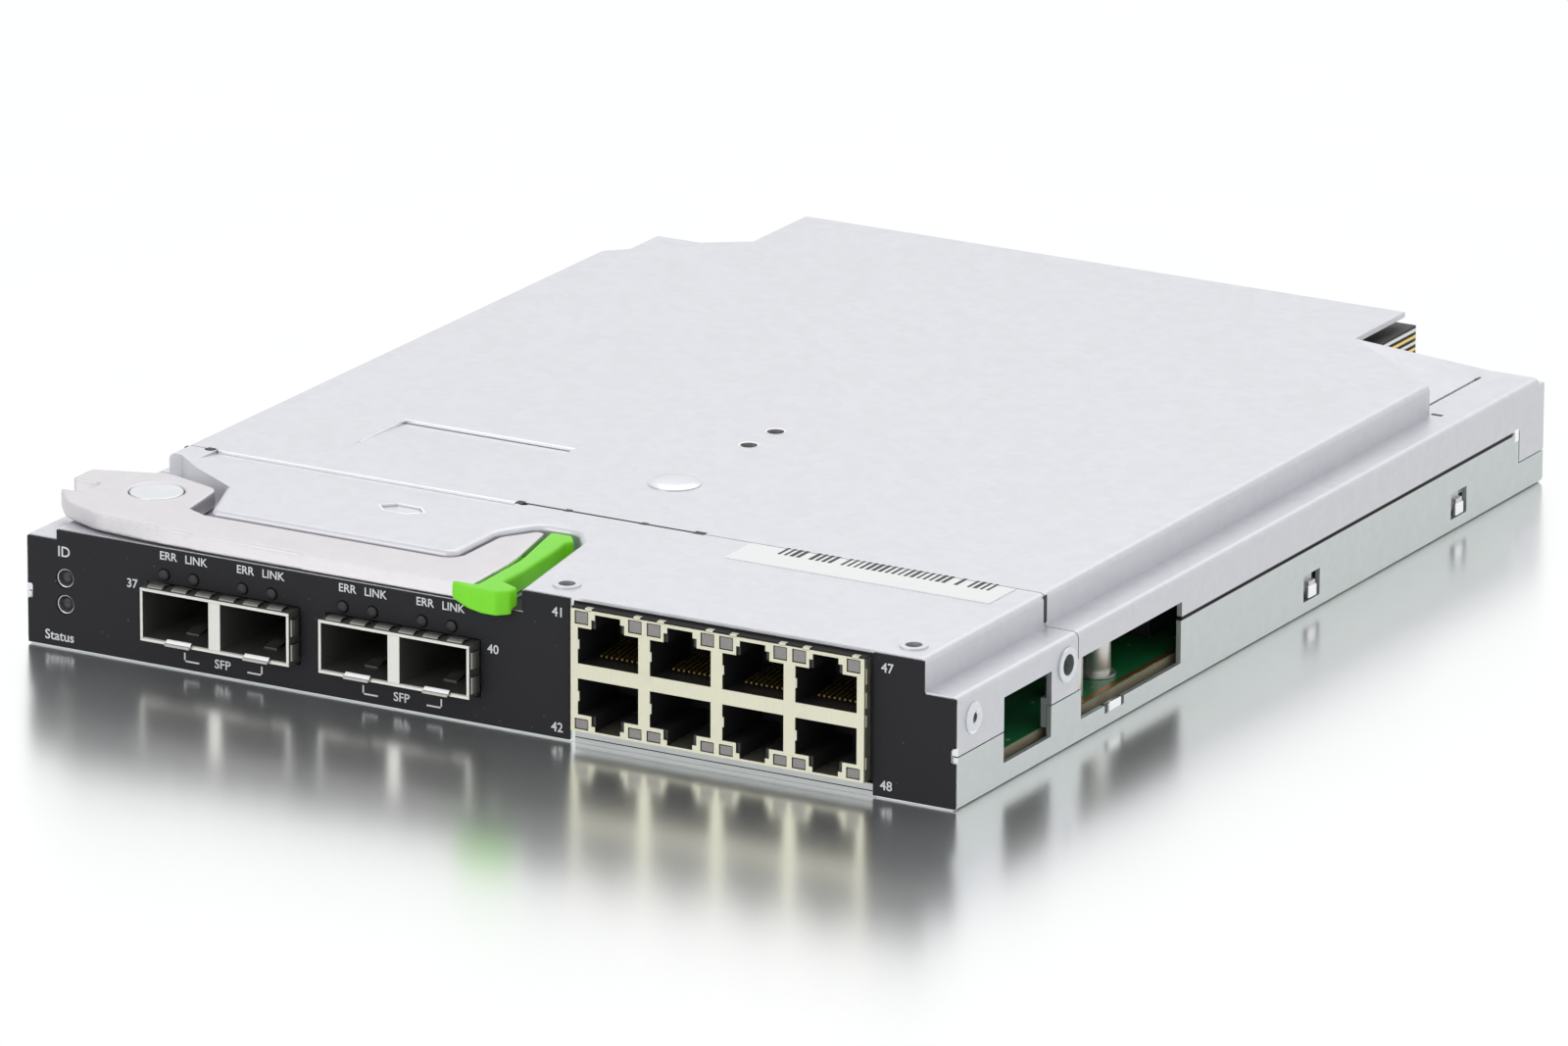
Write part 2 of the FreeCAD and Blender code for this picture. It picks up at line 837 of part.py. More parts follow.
rounded(frame, D.bay_corner, 2, [(x, y) for x, y in bay_line[3:7]])
rounded(frame, D.bay_step_corner, 2, [(far(D.bay_step_inset), D.bay_back)])
rounded(frame, D.bay_hub_corner, 2, [(D.bay_hub_x, D.bay_back)])
rounded(frame, D.bay_rim, 0, [(D.bay_back, TOP)])
pocket(frame, plan(frame, "YZ_Plane", HALF_WIDTH, [SMALL_WINDOW]))
CAGE_HOLES = [
    rect(
        x - D.cage_margin,
        x + D.cage_width + D.cage_margin,
        D.cage_bottom - D.cage_margin,
        D.cage_top + D.cage_margin,
    )
    for x in CAGE_STARTS
]
JACK_LEFT = JACK_X - D.jack_cutout_margin
JACK_RIGHT = JACK_END + D.jack_cutout_margin
JACK_LOW = D.jack_bottom - D.jack_cutout_margin
JACK_HOLE = rect(JACK_LEFT, JACK_RIGHT, JACK_LOW, TOP - SHEET)
PORT_LAMPS = [
    (start + D.port_lamp_offset + D.port_lamp_group * bay_number + D.port_lamp_pitch * side, D.port_lamp_z)
    for start in CAGE_STARTS
    for bay_number in range(BAYS)
    for side in range(2)
]
PANEL_LAMPS = [(D.lamp_x, D.lamp_upper_z), (D.lamp_x, D.lamp_lower_z)]
lamp_holes = [(x, z, D.port_lamp_radius + D.lamp_fit) for x, z in PORT_LAMPS]
lamp_holes += [(x, z, D.lamp_radius + D.lamp_fit) for x, z in PANEL_LAMPS]
THREADS = [(far(D.thread_left_inset), D.thread_y), (far(D.thread_right_inset), D.thread_y)]
collar_rings = [(x, y, D.collar_radius) for x, y in THREADS]
collars = plan(frame, "XY_Plane", TOP - SHEET - D.collar_drop, circles=collar_rings)
pad(frame, collars, SHEET + D.collar_drop + D.collar_rise)
threads = plan(frame, "XY_Plane", TOP + SHEET, circles=[(x, y, D.thread_radius) for x, y in THREADS])
pocket(frame, threads, SHEET * 3 + D.collar_drop)
pivot_hole = plan(frame, "XY_Plane", TOP, circles=[(D.pivot_x, D.pivot_y, D.pivot_radius + D.pivot_fit)])
pocket(frame, pivot_hole, TOP - D.recess_floor + SHEET * 2)
side_holes = [
    (D.rivet_y, D.rivet_z, D.rivet_shank + D.slide_fit),
    (D.nut_y, D.nut_z, D.nut_barrel_radius + D.slide_fit),
]
pocket(frame, plan(frame, "YZ_Plane", HALF_WIDTH, circles=side_holes))
dimple = plan(frame, "XY_Plane", TOP + SHEET, [[
    (far(D.dimple_inset) - D.dimple_length / 2, D.dimple_y),
    (far(D.dimple_inset) - D.dimple_length / 4, D.dimple_y - D.dimple_width / 2),
    (far(D.dimple_inset) + D.dimple_length / 4, D.dimple_y - D.dimple_width / 2),
    (far(D.dimple_inset) + D.dimple_length / 2, D.dimple_y),
    (far(D.dimple_inset) + D.dimple_length / 4, D.dimple_y + D.dimple_width / 2),
    (far(D.dimple_inset) - D.dimple_length / 4, D.dimple_y + D.dimple_width / 2),
]])
pocket(frame, dimple, SHEET + D.dimple_depth)
ramp_backing = rect(D.seam_ramp_left, D.seam_ramp_right, D.seam_ramp_front + SHEET, FRONT_SEAM)
pad(frame, plan(frame, "XY_Plane", TOP - SHEET - D.recess_depth, [ramp_backing]), D.recess_depth + SHEET / 4)
ramp = plan(frame, "YZ_Plane", D.seam_ramp_left, [[
    (D.seam_ramp_front, TOP),
    (FRONT_SEAM + SHEET, TOP),
    (FRONT_SEAM + SHEET, TOP - D.recess_depth),
]])
pocket(frame, ramp, D.seam_ramp_right - D.seam_ramp_left, backwards=True)
reliefs = plan(frame, "XY_Plane", TOP + SHEET, circles=[
    (D.relief_left, FRONT_SEAM, D.relief_radius),
    (D.relief_right, FRONT_SEAM, D.relief_radius),
])
pocket(frame, reliefs, SHEET * 3)
finish(frame, "front_frame")

# Front wall: flat plate under the folded edge, with the cage and jack openings and slots behind the lamps
wall_body = new_body("front_wall")
BOWL_RIGHT = far(D.bay_right_front_inset) + SHEET
BOWL_LOW = D.recess_floor - SHEET
front_line = [
    (INNER + SHEET, SHEET),
    (far(INNER + SHEET), SHEET),
    (far(INNER + SHEET), SHOULDER - SHEET),
    (far(STEP + SHEET), SHOULDER - SHEET),
    (far(STEP + SHEET), TOP - SHEET),
    (BOWL_RIGHT, TOP - SHEET),
    (BOWL_RIGHT, BOWL_LOW),
    (STEP + SHEET, BOWL_LOW),
    (STEP + SHEET, SHOULDER - SHEET),
    (INNER + SHEET, SHOULDER - SHEET),
]
pad(wall_body, plan(wall_body, "XZ_Plane", SHEET, [front_line]), SHEET)
pocket(wall_body, plan(wall_body, "XZ_Plane", OUTSIDE, CAGE_HOLES + [JACK_HOLE]), SHEET * 6)
PIPE_ROOM = D.port_lamp_radius + D.lamp_fit
LAMP_ROOM = D.lamp_radius + D.lamp_fit
PIPES_PER_CAGE = len(PORT_LAMPS) // len(CAGE_STARTS)
lamp_slots = [
    rect(
        PORT_LAMPS[first][0] - PIPE_ROOM,
        PORT_LAMPS[first + PIPES_PER_CAGE - 1][0] + PIPE_ROOM,
        D.port_lamp_z - PIPE_ROOM,
        D.port_lamp_z + PIPE_ROOM,
    )
    for first in range(0, len(PORT_LAMPS), PIPES_PER_CAGE)
]
lamp_slots.append(rect(
    D.lamp_x - LAMP_ROOM, D.lamp_x + LAMP_ROOM, D.lamp_lower_z - LAMP_ROOM, D.lamp_upper_z + LAMP_ROOM
))
pocket(wall_body, plan(wall_body, "XZ_Plane", OUTSIDE, lamp_slots), SHEET * 6)
finish(wall_body, "front_wall")

# Main cover: plateau, steps, shoulders and side strips, with lowered rear corners and a tongue
cover = new_body("main_cover")
section = [
    (ZERO, SIDE_SEAM),
    (ZERO, SHOULDER),
    (STEP, SHOULDER),
    (STEP, TOP),
]
section_inside = [
    (STEP + SHEET, TOP - SHEET),
    (STEP + SHEET, SHOULDER - SHEET),
    (SHEET, SHOULDER - SHEET),
    (SHEET, SIDE_SEAM),
]
section_right = [(far(x), z) for x, z in reversed(section)]
section_right_inside = [(far(x), z) for x, z in reversed(section_inside)]
hat_line = section + section_right + section_right_inside + section_inside
pad(cover, plan(cover, "XZ_Plane", STEP_END, [hat_line]), STEP_END - COVER_START)
rounded(cover, D.bend_radius, 1, [(STEP, TOP), (far(STEP), TOP)])
tongue_line = [
    (STEP + SHEET, STEP_END - SHEET),
    (far(STEP + SHEET), STEP_END - SHEET),
    (far(STEP + SHEET), STEP_END),
    (far(D.tongue_right_inset), TONGUE_START),
    (far(D.tongue_right_inset), D.module_depth + D.tongue_reach),
    (D.tongue_left, D.module_depth + D.tongue_reach),
    (D.tongue_left, TONGUE_START),
    (STEP + SHEET, STEP_END),
]
pad(cover, plan(cover, "XY_Plane", TOP - SHEET, [tongue_line]), SHEET)
angle_line = [
    (ZERO, SIDE_SEAM),
    (ZERO, SHOULDER),
    (D.rear_slit_inset, SHOULDER),
    (D.rear_slit_inset, SHOULDER - SHEET),
    (SHEET, SHOULDER - SHEET),
    (SHEET, SIDE_SEAM),
]
angle = plan(cover, "XZ_Plane", CORNER_END, [angle_line, [(far(x), z) for x, z in angle_line]])
pad(cover, angle, CORNER_END - STEP_END)
rounded(cover, D.bend_radius, 1, [(ZERO, SHOULDER), (RIGHT, SHOULDER)])
end_strip = rect(
    rear(D.tray_end_start_inset) + D.seam_gap,
    D.module_depth,
    D.tray_end_wall + D.seam_gap,
    SHOULDER - D.bend_radius,
)
strip = pad(cover, plan(cover, "YZ_Plane", RIGHT, [end_strip]), SHEET, backwards=True)
mirror(cover, [strip])

# Rear corners of the cover: a flap slopes from the tongue down to the shoulder beside a slit
SLIT = D.rear_slit_inset + D.rear_slit_width
for side, tongue_edge in ((near, D.tongue_left), (far, D.tongue_right_inset)):
    crest_slope = (TONGUE_START - STEP_END) / (tongue_edge - STEP - SHEET)
    slit_crest = STEP_END + crest_slope * (SLIT - STEP - SHEET)
    slope_line = [
        (side(tongue_edge), TOP),
        (side(SLIT), SHOULDER),
        (side(SLIT), SHOULDER - SHEET),
        (side(tongue_edge), TOP - SHEET),
    ]
    pad(cover, plan(cover, "XZ_Plane", CORNER_END, [slope_line]), CORNER_END - STEP_END)
    web_line = [
        (side(tongue_edge), TONGUE_START),
        (side(SLIT), slit_crest),
        (side(SLIT), slit_crest - SHEET),
        (side(tongue_edge), TONGUE_START - SHEET),
    ]
    under_plateau = [
        (side(tongue_edge), STEP_END - SHEET),
        (side(SLIT), STEP_END - SHEET),
        (side(SLIT), slit_crest - SHEET),
        (side(tongue_edge), TONGUE_START - SHEET),
    ]
    pocket(cover, plan(cover, "XY_Plane", TOP - SHEET, [under_plateau]), TOP - SHEET)
    behind_flap = [
        (side(tongue_edge), TONGUE_START),
        (side(SLIT), CORNER_END),
        (side(tongue_edge), CORNER_END),
    ]
    pocket(cover, plan(cover, "XY_Plane", TOP + SHEET, [behind_flap]), TOP + SHEET)
    pad(cover, plan(cover, "XY_Plane", SHOULDER - SHEET, [web_line]), TOP - SHOULDER)
    under_flap = [
        (side(tongue_edge), TOP - SHEET),
        (side(SLIT), SHOULDER - SHEET),
        (side(tongue_edge), SHOULDER - SHEET),
    ]
    pocket(cover, plan(cover, "XZ_Plane", STEP_END, [under_flap]), CORNER_END - STEP_END)
    bridge = [
        (side(D.rear_slit_inset - SHEET), CORNER_END - D.rear_bridge),
        (side(SLIT + SHEET), CORNER_END - D.rear_bridge),
        (side(SLIT + SHEET), CORNER_END),
        (side(D.rear_slit_inset - SHEET), CORNER_END),
    ]
    pad(cover, plan(cover, "XY_Plane", SHOULDER - SHEET, [bridge]), SHEET)
strip_gap = rect(ZERO, D.big_window_rear + D.seam_gap, ZERO, D.big_window_top)
pocket(cover, plan(cover, "YZ_Plane", HALF_WIDTH, [strip_gap]))
cover_holes = [
    (D.stud_x, D.stud_y, D.stud_stem + D.slide_fit),
    (D.cover_hole_x, D.cover_hole_front, D.cover_hole_radius),
    (D.cover_hole_x, D.cover_hole_rear, D.cover_hole_radius),
]
pocket(cover, plan(cover, "XY_Plane", TOP + SHEET, circles=cover_holes), SHEET * 3)
backing = rect(D.recess_left, D.recess_right, D.recess_rear - SHEET * 4, D.recess_rear + SHEET)
pad(cover, plan(cover, "XY_Plane", TOP - SHEET - D.recess_depth, [backing]), D.recess_depth + SHEET / 2)
recess = plan(cover, "YZ_Plane", D.recess_left, [[
    (D.recess_front, TOP),
    (D.recess_rear, TOP - D.recess_depth),
    (D.recess_rear, TOP),
]])
pocket(cover, recess, D.recess_right - D.recess_left, backwards=True)
hooks = []
for start in (D.hook_slot_first, rear(D.hook_slot_second_inset)):
    hooks.append(rect(
        start + (D.hook_slot_width - D.hook_width) / 2,
        start + (D.hook_slot_width + D.hook_width) / 2,
        SIDE_SEAM - D.hook_drop,
        SIDE_SEAM + SHEET * 2,
    ))
hook = pad(cover, plan(cover, "YZ_Plane", far(SHEET), hooks), SHEET, backwards=True)
mirror(cover, [hook])
noses = [
    rect(
        start + (D.hook_slot_width - D.hook_nose_width) / 2,
        start + (D.hook_slot_width + D.hook_nose_width) / 2,
        D.hook_slot_bottom + D.hook_nose_base,
        D.hook_slot_bottom + D.hook_nose_base + D.hook_nose_height,
    )
    for start in (D.hook_slot_first, rear(D.hook_slot_second_inset))
]
nose = pad(cover, plan(cover, "YZ_Plane", far(SHEET), noses), SHEET)
mirror(cover, [nose])
finish(cover, "main_cover")

# Black overlays on the front wall
SKIN = D.overlay_thickness
overlay = new_body("front_overlay_left")
left_overlay_line = [
    (D.overlay_edge, D.overlay_edge),
    (JACK_X - D.overlay_jack_gap, D.overlay_edge),
    (JACK_X - D.overlay_jack_gap, TOP - D.overlay_edge),
    (far(D.bay_right_front_inset) + D.overlay_edge, TOP - D.overlay_edge),
    (far(D.bay_right_front_inset) + D.overlay_edge, D.recess_floor - D.overlay_edge / 2),
    (STEP, D.recess_floor - D.overlay_edge / 2),
    (STEP, D.overlay_low_top),
    (D.overlay_edge, D.overlay_low_top),
    (D.overlay_edge, D.overlay_notch_top),
    (D.overlay_edge + D.overlay_notch_depth, D.overlay_notch_top),
    (D.overlay_edge + D.overlay_notch_depth, D.overlay_notch_bottom),
    (D.overlay_edge, D.overlay_notch_bottom),
]
pad(overlay, plan(overlay, "XZ_Plane", ZERO, [left_overlay_line]), SKIN)
pocket(overlay, plan(overlay, "XZ_Plane", OUTSIDE, CAGE_HOLES), SHEET * 6)
pocket(overlay, plan(overlay, "XZ_Plane", OUTSIDE, circles=lamp_holes), SHEET * 6)
finish(overlay, "front_overlay_left")
overlay = new_body("front_overlay_right")
EDGE_RIGHT = far(D.overlay_edge)
right_overlay_line = [
    (JACK_END + D.jack_cutout_margin, D.overlay_edge),
    (EDGE_RIGHT, D.overlay_edge),
    (EDGE_RIGHT, D.overlay_notch_bottom),
    (EDGE_RIGHT - D.overlay_notch_depth, D.overlay_notch_bottom),
    (EDGE_RIGHT - D.overlay_notch_depth, D.overlay_notch_top),
    (EDGE_RIGHT, D.overlay_notch_top),
    (EDGE_RIGHT, D.overlay_low_top),
    (far(STEP), D.overlay_low_top),
    (far(STEP), TOP - D.overlay_edge),
    (JACK_END + D.jack_cutout_margin, TOP - D.overlay_edge),
]
pad(overlay, plan(overlay, "XZ_Plane", ZERO, [right_overlay_line]), SKIN)
finish(overlay, "front_overlay_right")

# Ejector lever with claw, counterbored pivot and latch slot
lever = new_body("ejector_lever")
lever_line = [
    (far(D.lever_end_front_inset), D.lever_front),
    (D.pivot_x + D.arm_start, D.lever_front),
    (D.pivot_x - D.hub_front_x, D.pivot_y - D.hub_front_y),
    (D.pivot_x - D.hub_corner_x, D.pivot_y - D.hub_corner_y),
    (D.pivot_x - D.hub_left_x, D.pivot_y - D.hub_left_y),
    (D.pivot_x - D.hub_left_x, D.claw_gap_front),
    (D.claw_depth, D.claw_gap_front),
    (D.claw_depth, D.claw_gap_rear),
    (D.claw_tip, D.claw_gap_rear),
    (D.claw_tip, D.claw_rear),
    (D.pivot_x - D.hub_tail_x, D.pivot_y + D.hub_tail_y),
    (D.pivot_x - D.hub_crown_x, D.pivot_y + D.hub_crown_y),
    (D.pivot_x + D.hub_back_x, D.pivot_y + D.hub_back_y),
    (D.pivot_x + D.hub_neck_x, D.pivot_y - D.hub_neck_y),
    (D.pivot_x + D.hub_waist_x, D.lever_back),
    (far(D.lever_step_inset), D.lever_back),
    (far(D.lever_step_inset), D.lever_step_y),
    (far(D.lever_shoulder_inset), D.lever_shoulder_y),
    (far(D.lever_end_rear_inset), D.lever_end_rear_y),
    (far(D.lever_end_mid_inset), D.lever_end_mid_y),
]
pad(lever, plan(lever, "XY_Plane", LEVER_BOTTOM, [lever_line]), D.lever_thickness)
rounded(lever, D.hub_round, 2, [lever_line[i] for i in (2, 3)])
rounded(lever, D.lever_round, 2, [lever_line[i] for i in (10, 11, 12, 14, 15, 16)])
rounded(lever, D.claw_round, 2, [lever_line[i] for i in (6, 7, 9, 17)])
bore = [(D.pivot_x, D.pivot_y, D.pivot_radius + D.pivot_fit)]
pocket(lever, plan(lever, "XY_Plane", LEVER_TOP + SHEET, circles=bore), D.lever_thickness + SHEET * 2)
HEAD_BOTTOM = LEVER_TOP - D.pivot_head_height
counterbore = [(D.pivot_x, D.pivot_y, D.pivot_head_radius + D.pivot_head_fit)]
counterbore_depth = SHEET + D.pivot_head_height + D.pivot_head_fit
pocket(lever, plan(lever, "XY_Plane", LEVER_TOP + SHEET, circles=counterbore), counterbore_depth)
SLOT_LEFT = far(D.lever_end_mid_inset) - D.latch_slot_depth
SLOT_LOW = LEVER_BOTTOM + D.latch_slot_skin
SLOT_HIGH = LEVER_TOP - D.latch_slot_skin
slot_line = rect(D.latch_slot_front, D.latch_slot_rear, SLOT_LOW, SLOT_HIGH)
pocket(lever, plan(lever, "YZ_Plane", SLOT_LEFT, [slot_line]), D.latch_slot_depth * 2, backwards=True)
finish(lever, "ejector_lever")

# Pivot rivet with flat head and foot, and the washer that carries the lever
rivet = new_body("lever_pivot")
foot_level = D.recess_floor - SHEET - D.pivot_foot_height
head_ring = [(D.pivot_x, D.pivot_y, D.pivot_head_radius)]
pad(rivet, plan(rivet, "XY_Plane", foot_level, circles=head_ring), D.pivot_foot_height)
shank = plan(rivet, "XY_Plane", foot_level, circles=[(D.pivot_x, D.pivot_y, D.pivot_radius)])
pad(rivet, shank, LEVER_TOP - foot_level)
pad(rivet, plan(rivet, "XY_Plane", HEAD_BOTTOM, circles=head_ring), D.pivot_head_height)
finish(rivet, "lever_pivot")
washer = cut(
    rod((D.pivot_x, D.pivot_y, D.recess_floor), D.washer_radius, D.lever_lift),
    [rod((D.pivot_x, D.pivot_y, D.recess_floor - SHEET), D.pivot_radius + D.pivot_fit, SHEET * 3)],
)
finish(washer, "lever_washer")

# Release latch: curved stem, thumb head, tail and guide tongue
latch = new_body("release_latch")
GAP = D.latch_gap
WIDE = D.latch_stem_width
LATCH_TOP = LEVER_TOP + D.latch_rise
HEAD_LIMIT = D.lever_front - D.latch_head_gap
stem_line = [
    (far(D.lever_end_front_inset) + GAP, HEAD_LIMIT),
    (far(D.lever_end_front_inset) + GAP + WIDE, HEAD_LIMIT),
    (far(D.lever_end_front_inset) + GAP + WIDE, D.lever_end_mid_y - D.stem_bend),
    (far(D.lever_end_mid_inset) + GAP + WIDE - D.stem_lean, D.latch_tail_front - D.tail_run),
    (far(D.latch_tail_right_inset) - D.tail_lean, D.latch_tail_front),
    (far(D.latch_tail_right_inset), D.latch_tail_front + D.tail_hook),
    (far(D.latch_tail_right_inset) - D.tail_round, D.latch_tail_rear),
    (far(D.lever_end_rear_inset) + GAP, D.latch_tail_rear),
    (far(D.lever_end_rear_inset) + GAP, D.lever_end_rear_y),
    (far(D.lever_end_mid_inset) + GAP, D.lever_end_mid_y),
]
pad(latch, plan(latch, "XY_Plane", LEVER_BOTTOM, [stem_line]), LATCH_TOP - LEVER_BOTTOM)
head_line = [
    (far(D.latch_head_left_inset), HEAD_LIMIT),
    (far(D.latch_head_left_inset), D.latch_head_front + D.head_chamfer),
    (far(D.latch_head_left_inset) + D.head_slope, D.latch_head_front),
    (far(D.latch_head_right_inset) - D.head_corner, D.latch_head_front),
    (far(D.latch_head_right_inset), D.latch_head_front + D.head_corner),
    (far(D.latch_head_right_inset), D.latch_head_tail - D.head_tail_drop),
    (far(D.latch_head_right_inset) - D.head_tail_run, D.latch_head_tail),
    (far(D.lever_end_front_inset) + GAP, D.latch_head_tail),
    (far(D.lever_end_front_inset) + GAP, HEAD_LIMIT),
]
pad(latch, plan(latch, "XY_Plane", LEVER_BOTTOM, [head_line]), LATCH_TOP - LEVER_BOTTOM)
lip_line = [
    (far(D.latch_head_left_inset), HEAD_LIMIT),
    (far(D.latch_head_left_inset), D.latch_head_front + D.head_chamfer),
    (far(D.latch_head_left_inset) + D.head_slope, D.latch_head_front),
    (far(D.latch_head_right_inset) - D.head_corner, D.latch_head_front),
    (far(D.latch_head_right_inset), D.latch_head_front + D.head_corner),
    (far(D.latch_head_right_inset), HEAD_LIMIT),
]
pad(latch, plan(latch, "XY_Plane", LEVER_BOTTOM - D.latch_head_drop, [lip_line]), D.lever_thickness)
FIT = D.latch_fit
tongue = rect(D.latch_slot_front + FIT, D.latch_slot_rear - FIT, SLOT_LOW + FIT, SLOT_HIGH - FIT)
TONGUE_ROOT = far(D.lever_end_mid_inset) + GAP + WIDE / 2
pad(latch, plan(latch, "YZ_Plane", TONGUE_ROOT, [tongue]), D.latch_tongue + GAP, backwards=True)
finish(latch, "release_latch")
TONGUE_TIP = far(D.lever_end_mid_inset) + WIDE / 2 - D.latch_tongue
spring_start = SLOT_LEFT + FIT / 2
spring_length = TONGUE_TIP - spring_start - FIT / 2
spring_level = LEVER_BOTTOM + D.lever_thickness / 2
springs = [
    rod((spring_start, y, spring_level), D.spring_radius, spring_length, "x")
    for y in (D.latch_slot_front + D.spring_inset, D.latch_slot_rear - D.spring_inset)
]
finish(group(springs), "latch_spring")

# Lamps in the front wall
port_lamps = [
    flat_sided((x, ZERO - D.port_lamp_rise, z), D.port_lamp_radius, D.port_lamp_length, PIPE_SIDES, "y")
    for x, z in PORT_LAMPS
]
finish(group(port_lamps), "port_light_pipes")
for label, (x, z) in zip(("id_lamp", "status_lamp"), PANEL_LAMPS):
    finish(rod((x, D.lamp_recess - SKIN, z), D.lamp_radius, SHEET + SKIN - D.lamp_recess, "y"), label)
holder = box(
    (D.lamp_holder_left, SHEET, BOARD_TOP),
    (D.lamp_holder_width, D.lamp_holder_depth, D.lamp_holder_top - BOARD_TOP),
)
finish(holder, "lamp_holder")
CARRIER_WIDTH = D.cage_width - D.carrier_inset * 2
CARRIER_HEIGHT = D.port_lamp_z - D.port_lamp_radius - D.cage_top
carriers = [
    box(
        (start + D.carrier_inset, D.carrier_front, D.cage_top),
        (CARRIER_WIDTH, D.carrier_depth, CARRIER_HEIGHT),
    )
    for start in CAGE_STARTS
]
finish(group(carriers), "lamp_carriers")

# Pluggable module cages with finger strips, and their host connectors
SIDE_FINGER = D.cage_bottom + D.side_finger_base
BAY = (D.cage_width - D.cage_divider - D.cage_wall * 2) / 2
BAY_LOW = D.cage_bottom + D.cage_floor
BAY_HIGH = D.cage_top - D.cage_wall
REAR_OF_CAGE = D.cage_front + D.cage_length - D.cage_back_wall
for word, start in zip(("left", "right"), CAGE_STARTS):
    cage = new_body("sfp_cage_" + word)
    outer_line = rect(start, start + D.cage_width, D.cage_bottom, D.cage_top)
    pad(cage, plan(cage, "XZ_Plane", D.cage_front, [outer_line]), D.cage_length, backwards=True)
    bays = []
    for number in range(BAYS):
        low_x = start + D.cage_wall + (BAY + D.cage_divider) * number
        bays.append(rect(low_x, low_x + BAY, BAY_LOW, BAY_HIGH))
    pocket(cage, plan(cage, "XZ_Plane", D.cage_front, bays), D.cage_length - D.cage_back_wall)
    hollow_x = start + D.cage_wall + BAY + D.cage_wall
    hollow = rect(hollow_x, hollow_x + D.cage_divider - D.cage_wall * 2, BAY_LOW, BAY_HIGH)
    hollow_sketch = plan(cage, "XZ_Plane", D.cage_front + D.cage_length, [hollow])
    pocket(cage, hollow_sketch, D.cage_length - SHEET * 2, backwards=True)
    throats = []
    for number in range(BAYS):
        middle = start + D.cage_wall + BAY / 2 + (BAY + D.cage_divider) * number
        throats.append(rect(
            middle - D.plug_width / 2 - FIT,
            middle + D.plug_width / 2 + FIT,
            REAR_OF_CAGE - D.plug_length - FIT * 2,
            REAR_OF_CAGE,
        ))
    pocket(cage, plan(cage, "XY_Plane", BAY_LOW + SHEET, throats), D.cage_floor + SHEET * 2)
    tabs = []
    for number in range(BAYS):
        middle = start + D.cage_wall + BAY / 2 + D.cage_tab_shift + (BAY + D.cage_divider) * number
        tabs.append(rect(
            middle - D.cage_tab_width / 2,
            middle + D.cage_tab_width / 2,
            D.cage_front - D.cage_tab_length,
            D.cage_front,
        ))
    pad(cage, plan(cage, "XY_Plane", D.cage_bottom, tabs), D.cage_tab_height)
    legs = []
    for x in (start, start + D.cage_width - D.cage_leg):
        for y in (D.board_front + SHEET * 3, REAR_OF_CAGE - D.cage_leg * 2):
            legs.append(rect(x, x + D.cage_leg, y, y + D.cage_leg))
    pad(cage, plan(cage, "XY_Plane", BOARD_TOP, legs), D.cage_bottom - BOARD_TOP)
    finish(cage, "sfp_cage_" + word)
    FINGER_FRONT = D.cage_front + D.finger_setback
    fingers = [
        box(
            (start + D.finger_start + D.finger_pitch * number, FINGER_FRONT, D.cage_top),
            (D.finger_width, D.finger_length, D.finger_height),
        )
        for number in range(TOP_FINGERS)
    ]
    fingers += [
        box(
            (start + D.cage_width, FINGER_FRONT, SIDE_FINGER + D.side_finger_pitch * number),
            (D.finger_height, D.finger_length, D.finger_width),
        )
        for number in range(SIDE_FINGERS)
    ]
    finish(group(fingers), "cage_fingers_" + word)
    for number in range(BAYS):
        middle = start + D.cage_wall + BAY / 2 + (BAY + D.cage_divider) * number
        plug_front = REAR_OF_CAGE - D.plug_length - FIT
        block = box(
            (middle - D.plug_width / 2, plug_front, BOARD_TOP),
            (D.plug_width, D.plug_length, D.plug_height),
        )
        slot = box(
            (middle - D.plug_width / 2 + SHEET, plug_front - SHEET, BOARD_TOP + D.plug_height / 2),
            (D.plug_width - SHEET * 2, D.plug_slot_depth, D.plug_slot_height),
        )
        finish(cut(block, [slot]), "sfp_connector_%s_%d" % (word, number + 1))

# Stacked network jack: pierced face, shield, housing, contact wires and lamps
PORT_TOP = D.jack_mid_top + D.jack_port_height
PORT_LOW = D.jack_mid_bottom - D.jack_port_height


def port_lines(grow):
    """Return the keyed openings of the first jack column, widened by a margin."""
    left = JACK_FIRST - grow
    right = JACK_FIRST + D.jack_opening + grow
    key = JACK_FIRST + D.jack_key_offset
    upper = [
        (left, D.jack_mid_top - grow),
        (right, D.jack_mid_top - grow),
        (right, PORT_TOP + grow),
        (key + D.jack_key_width + grow, PORT_TOP + grow),
        (key + D.jack_key_width + grow, PORT_TOP + D.jack_key_height),
        (key - grow, PORT_TOP + D.jack_key_height),
        (key - grow, PORT_TOP + grow),
        (left, PORT_TOP + grow),
    ]
    lower = [
        (left, D.jack_mid_bottom + grow),
        (left, PORT_LOW - grow),
        (key - grow, PORT_LOW - grow),
        (key - grow, PORT_LOW - D.jack_key_height),
        (key + D.jack_key_width + grow, PORT_LOW - D.jack_key_height),
        (key + D.jack_key_width + grow, PORT_LOW - grow),
        (right, PORT_LOW - grow),
        (right, D.jack_mid_bottom + grow),
    ]
    return [upper, lower]


LAMP_LEFTS = (
    JACK_FIRST - D.jack_lamp_side,
    JACK_FIRST + D.jack_opening + D.jack_lamp_side - D.jack_lamp_width,
)
LAMP_LOWS = (D.jack_top - D.jack_lamp_inset - D.jack_lamp_height, D.jack_bottom + D.jack_lamp_inset)


def lamp_lines(grow):
    """Return the lamp windows of the first jack column, widened by a margin."""
    return [
        rect(x - grow, x + D.jack_lamp_width + grow, z - grow, z + D.jack_lamp_height + grow)
        for x in LAMP_LEFTS
        for z in LAMP_LOWS
    ]


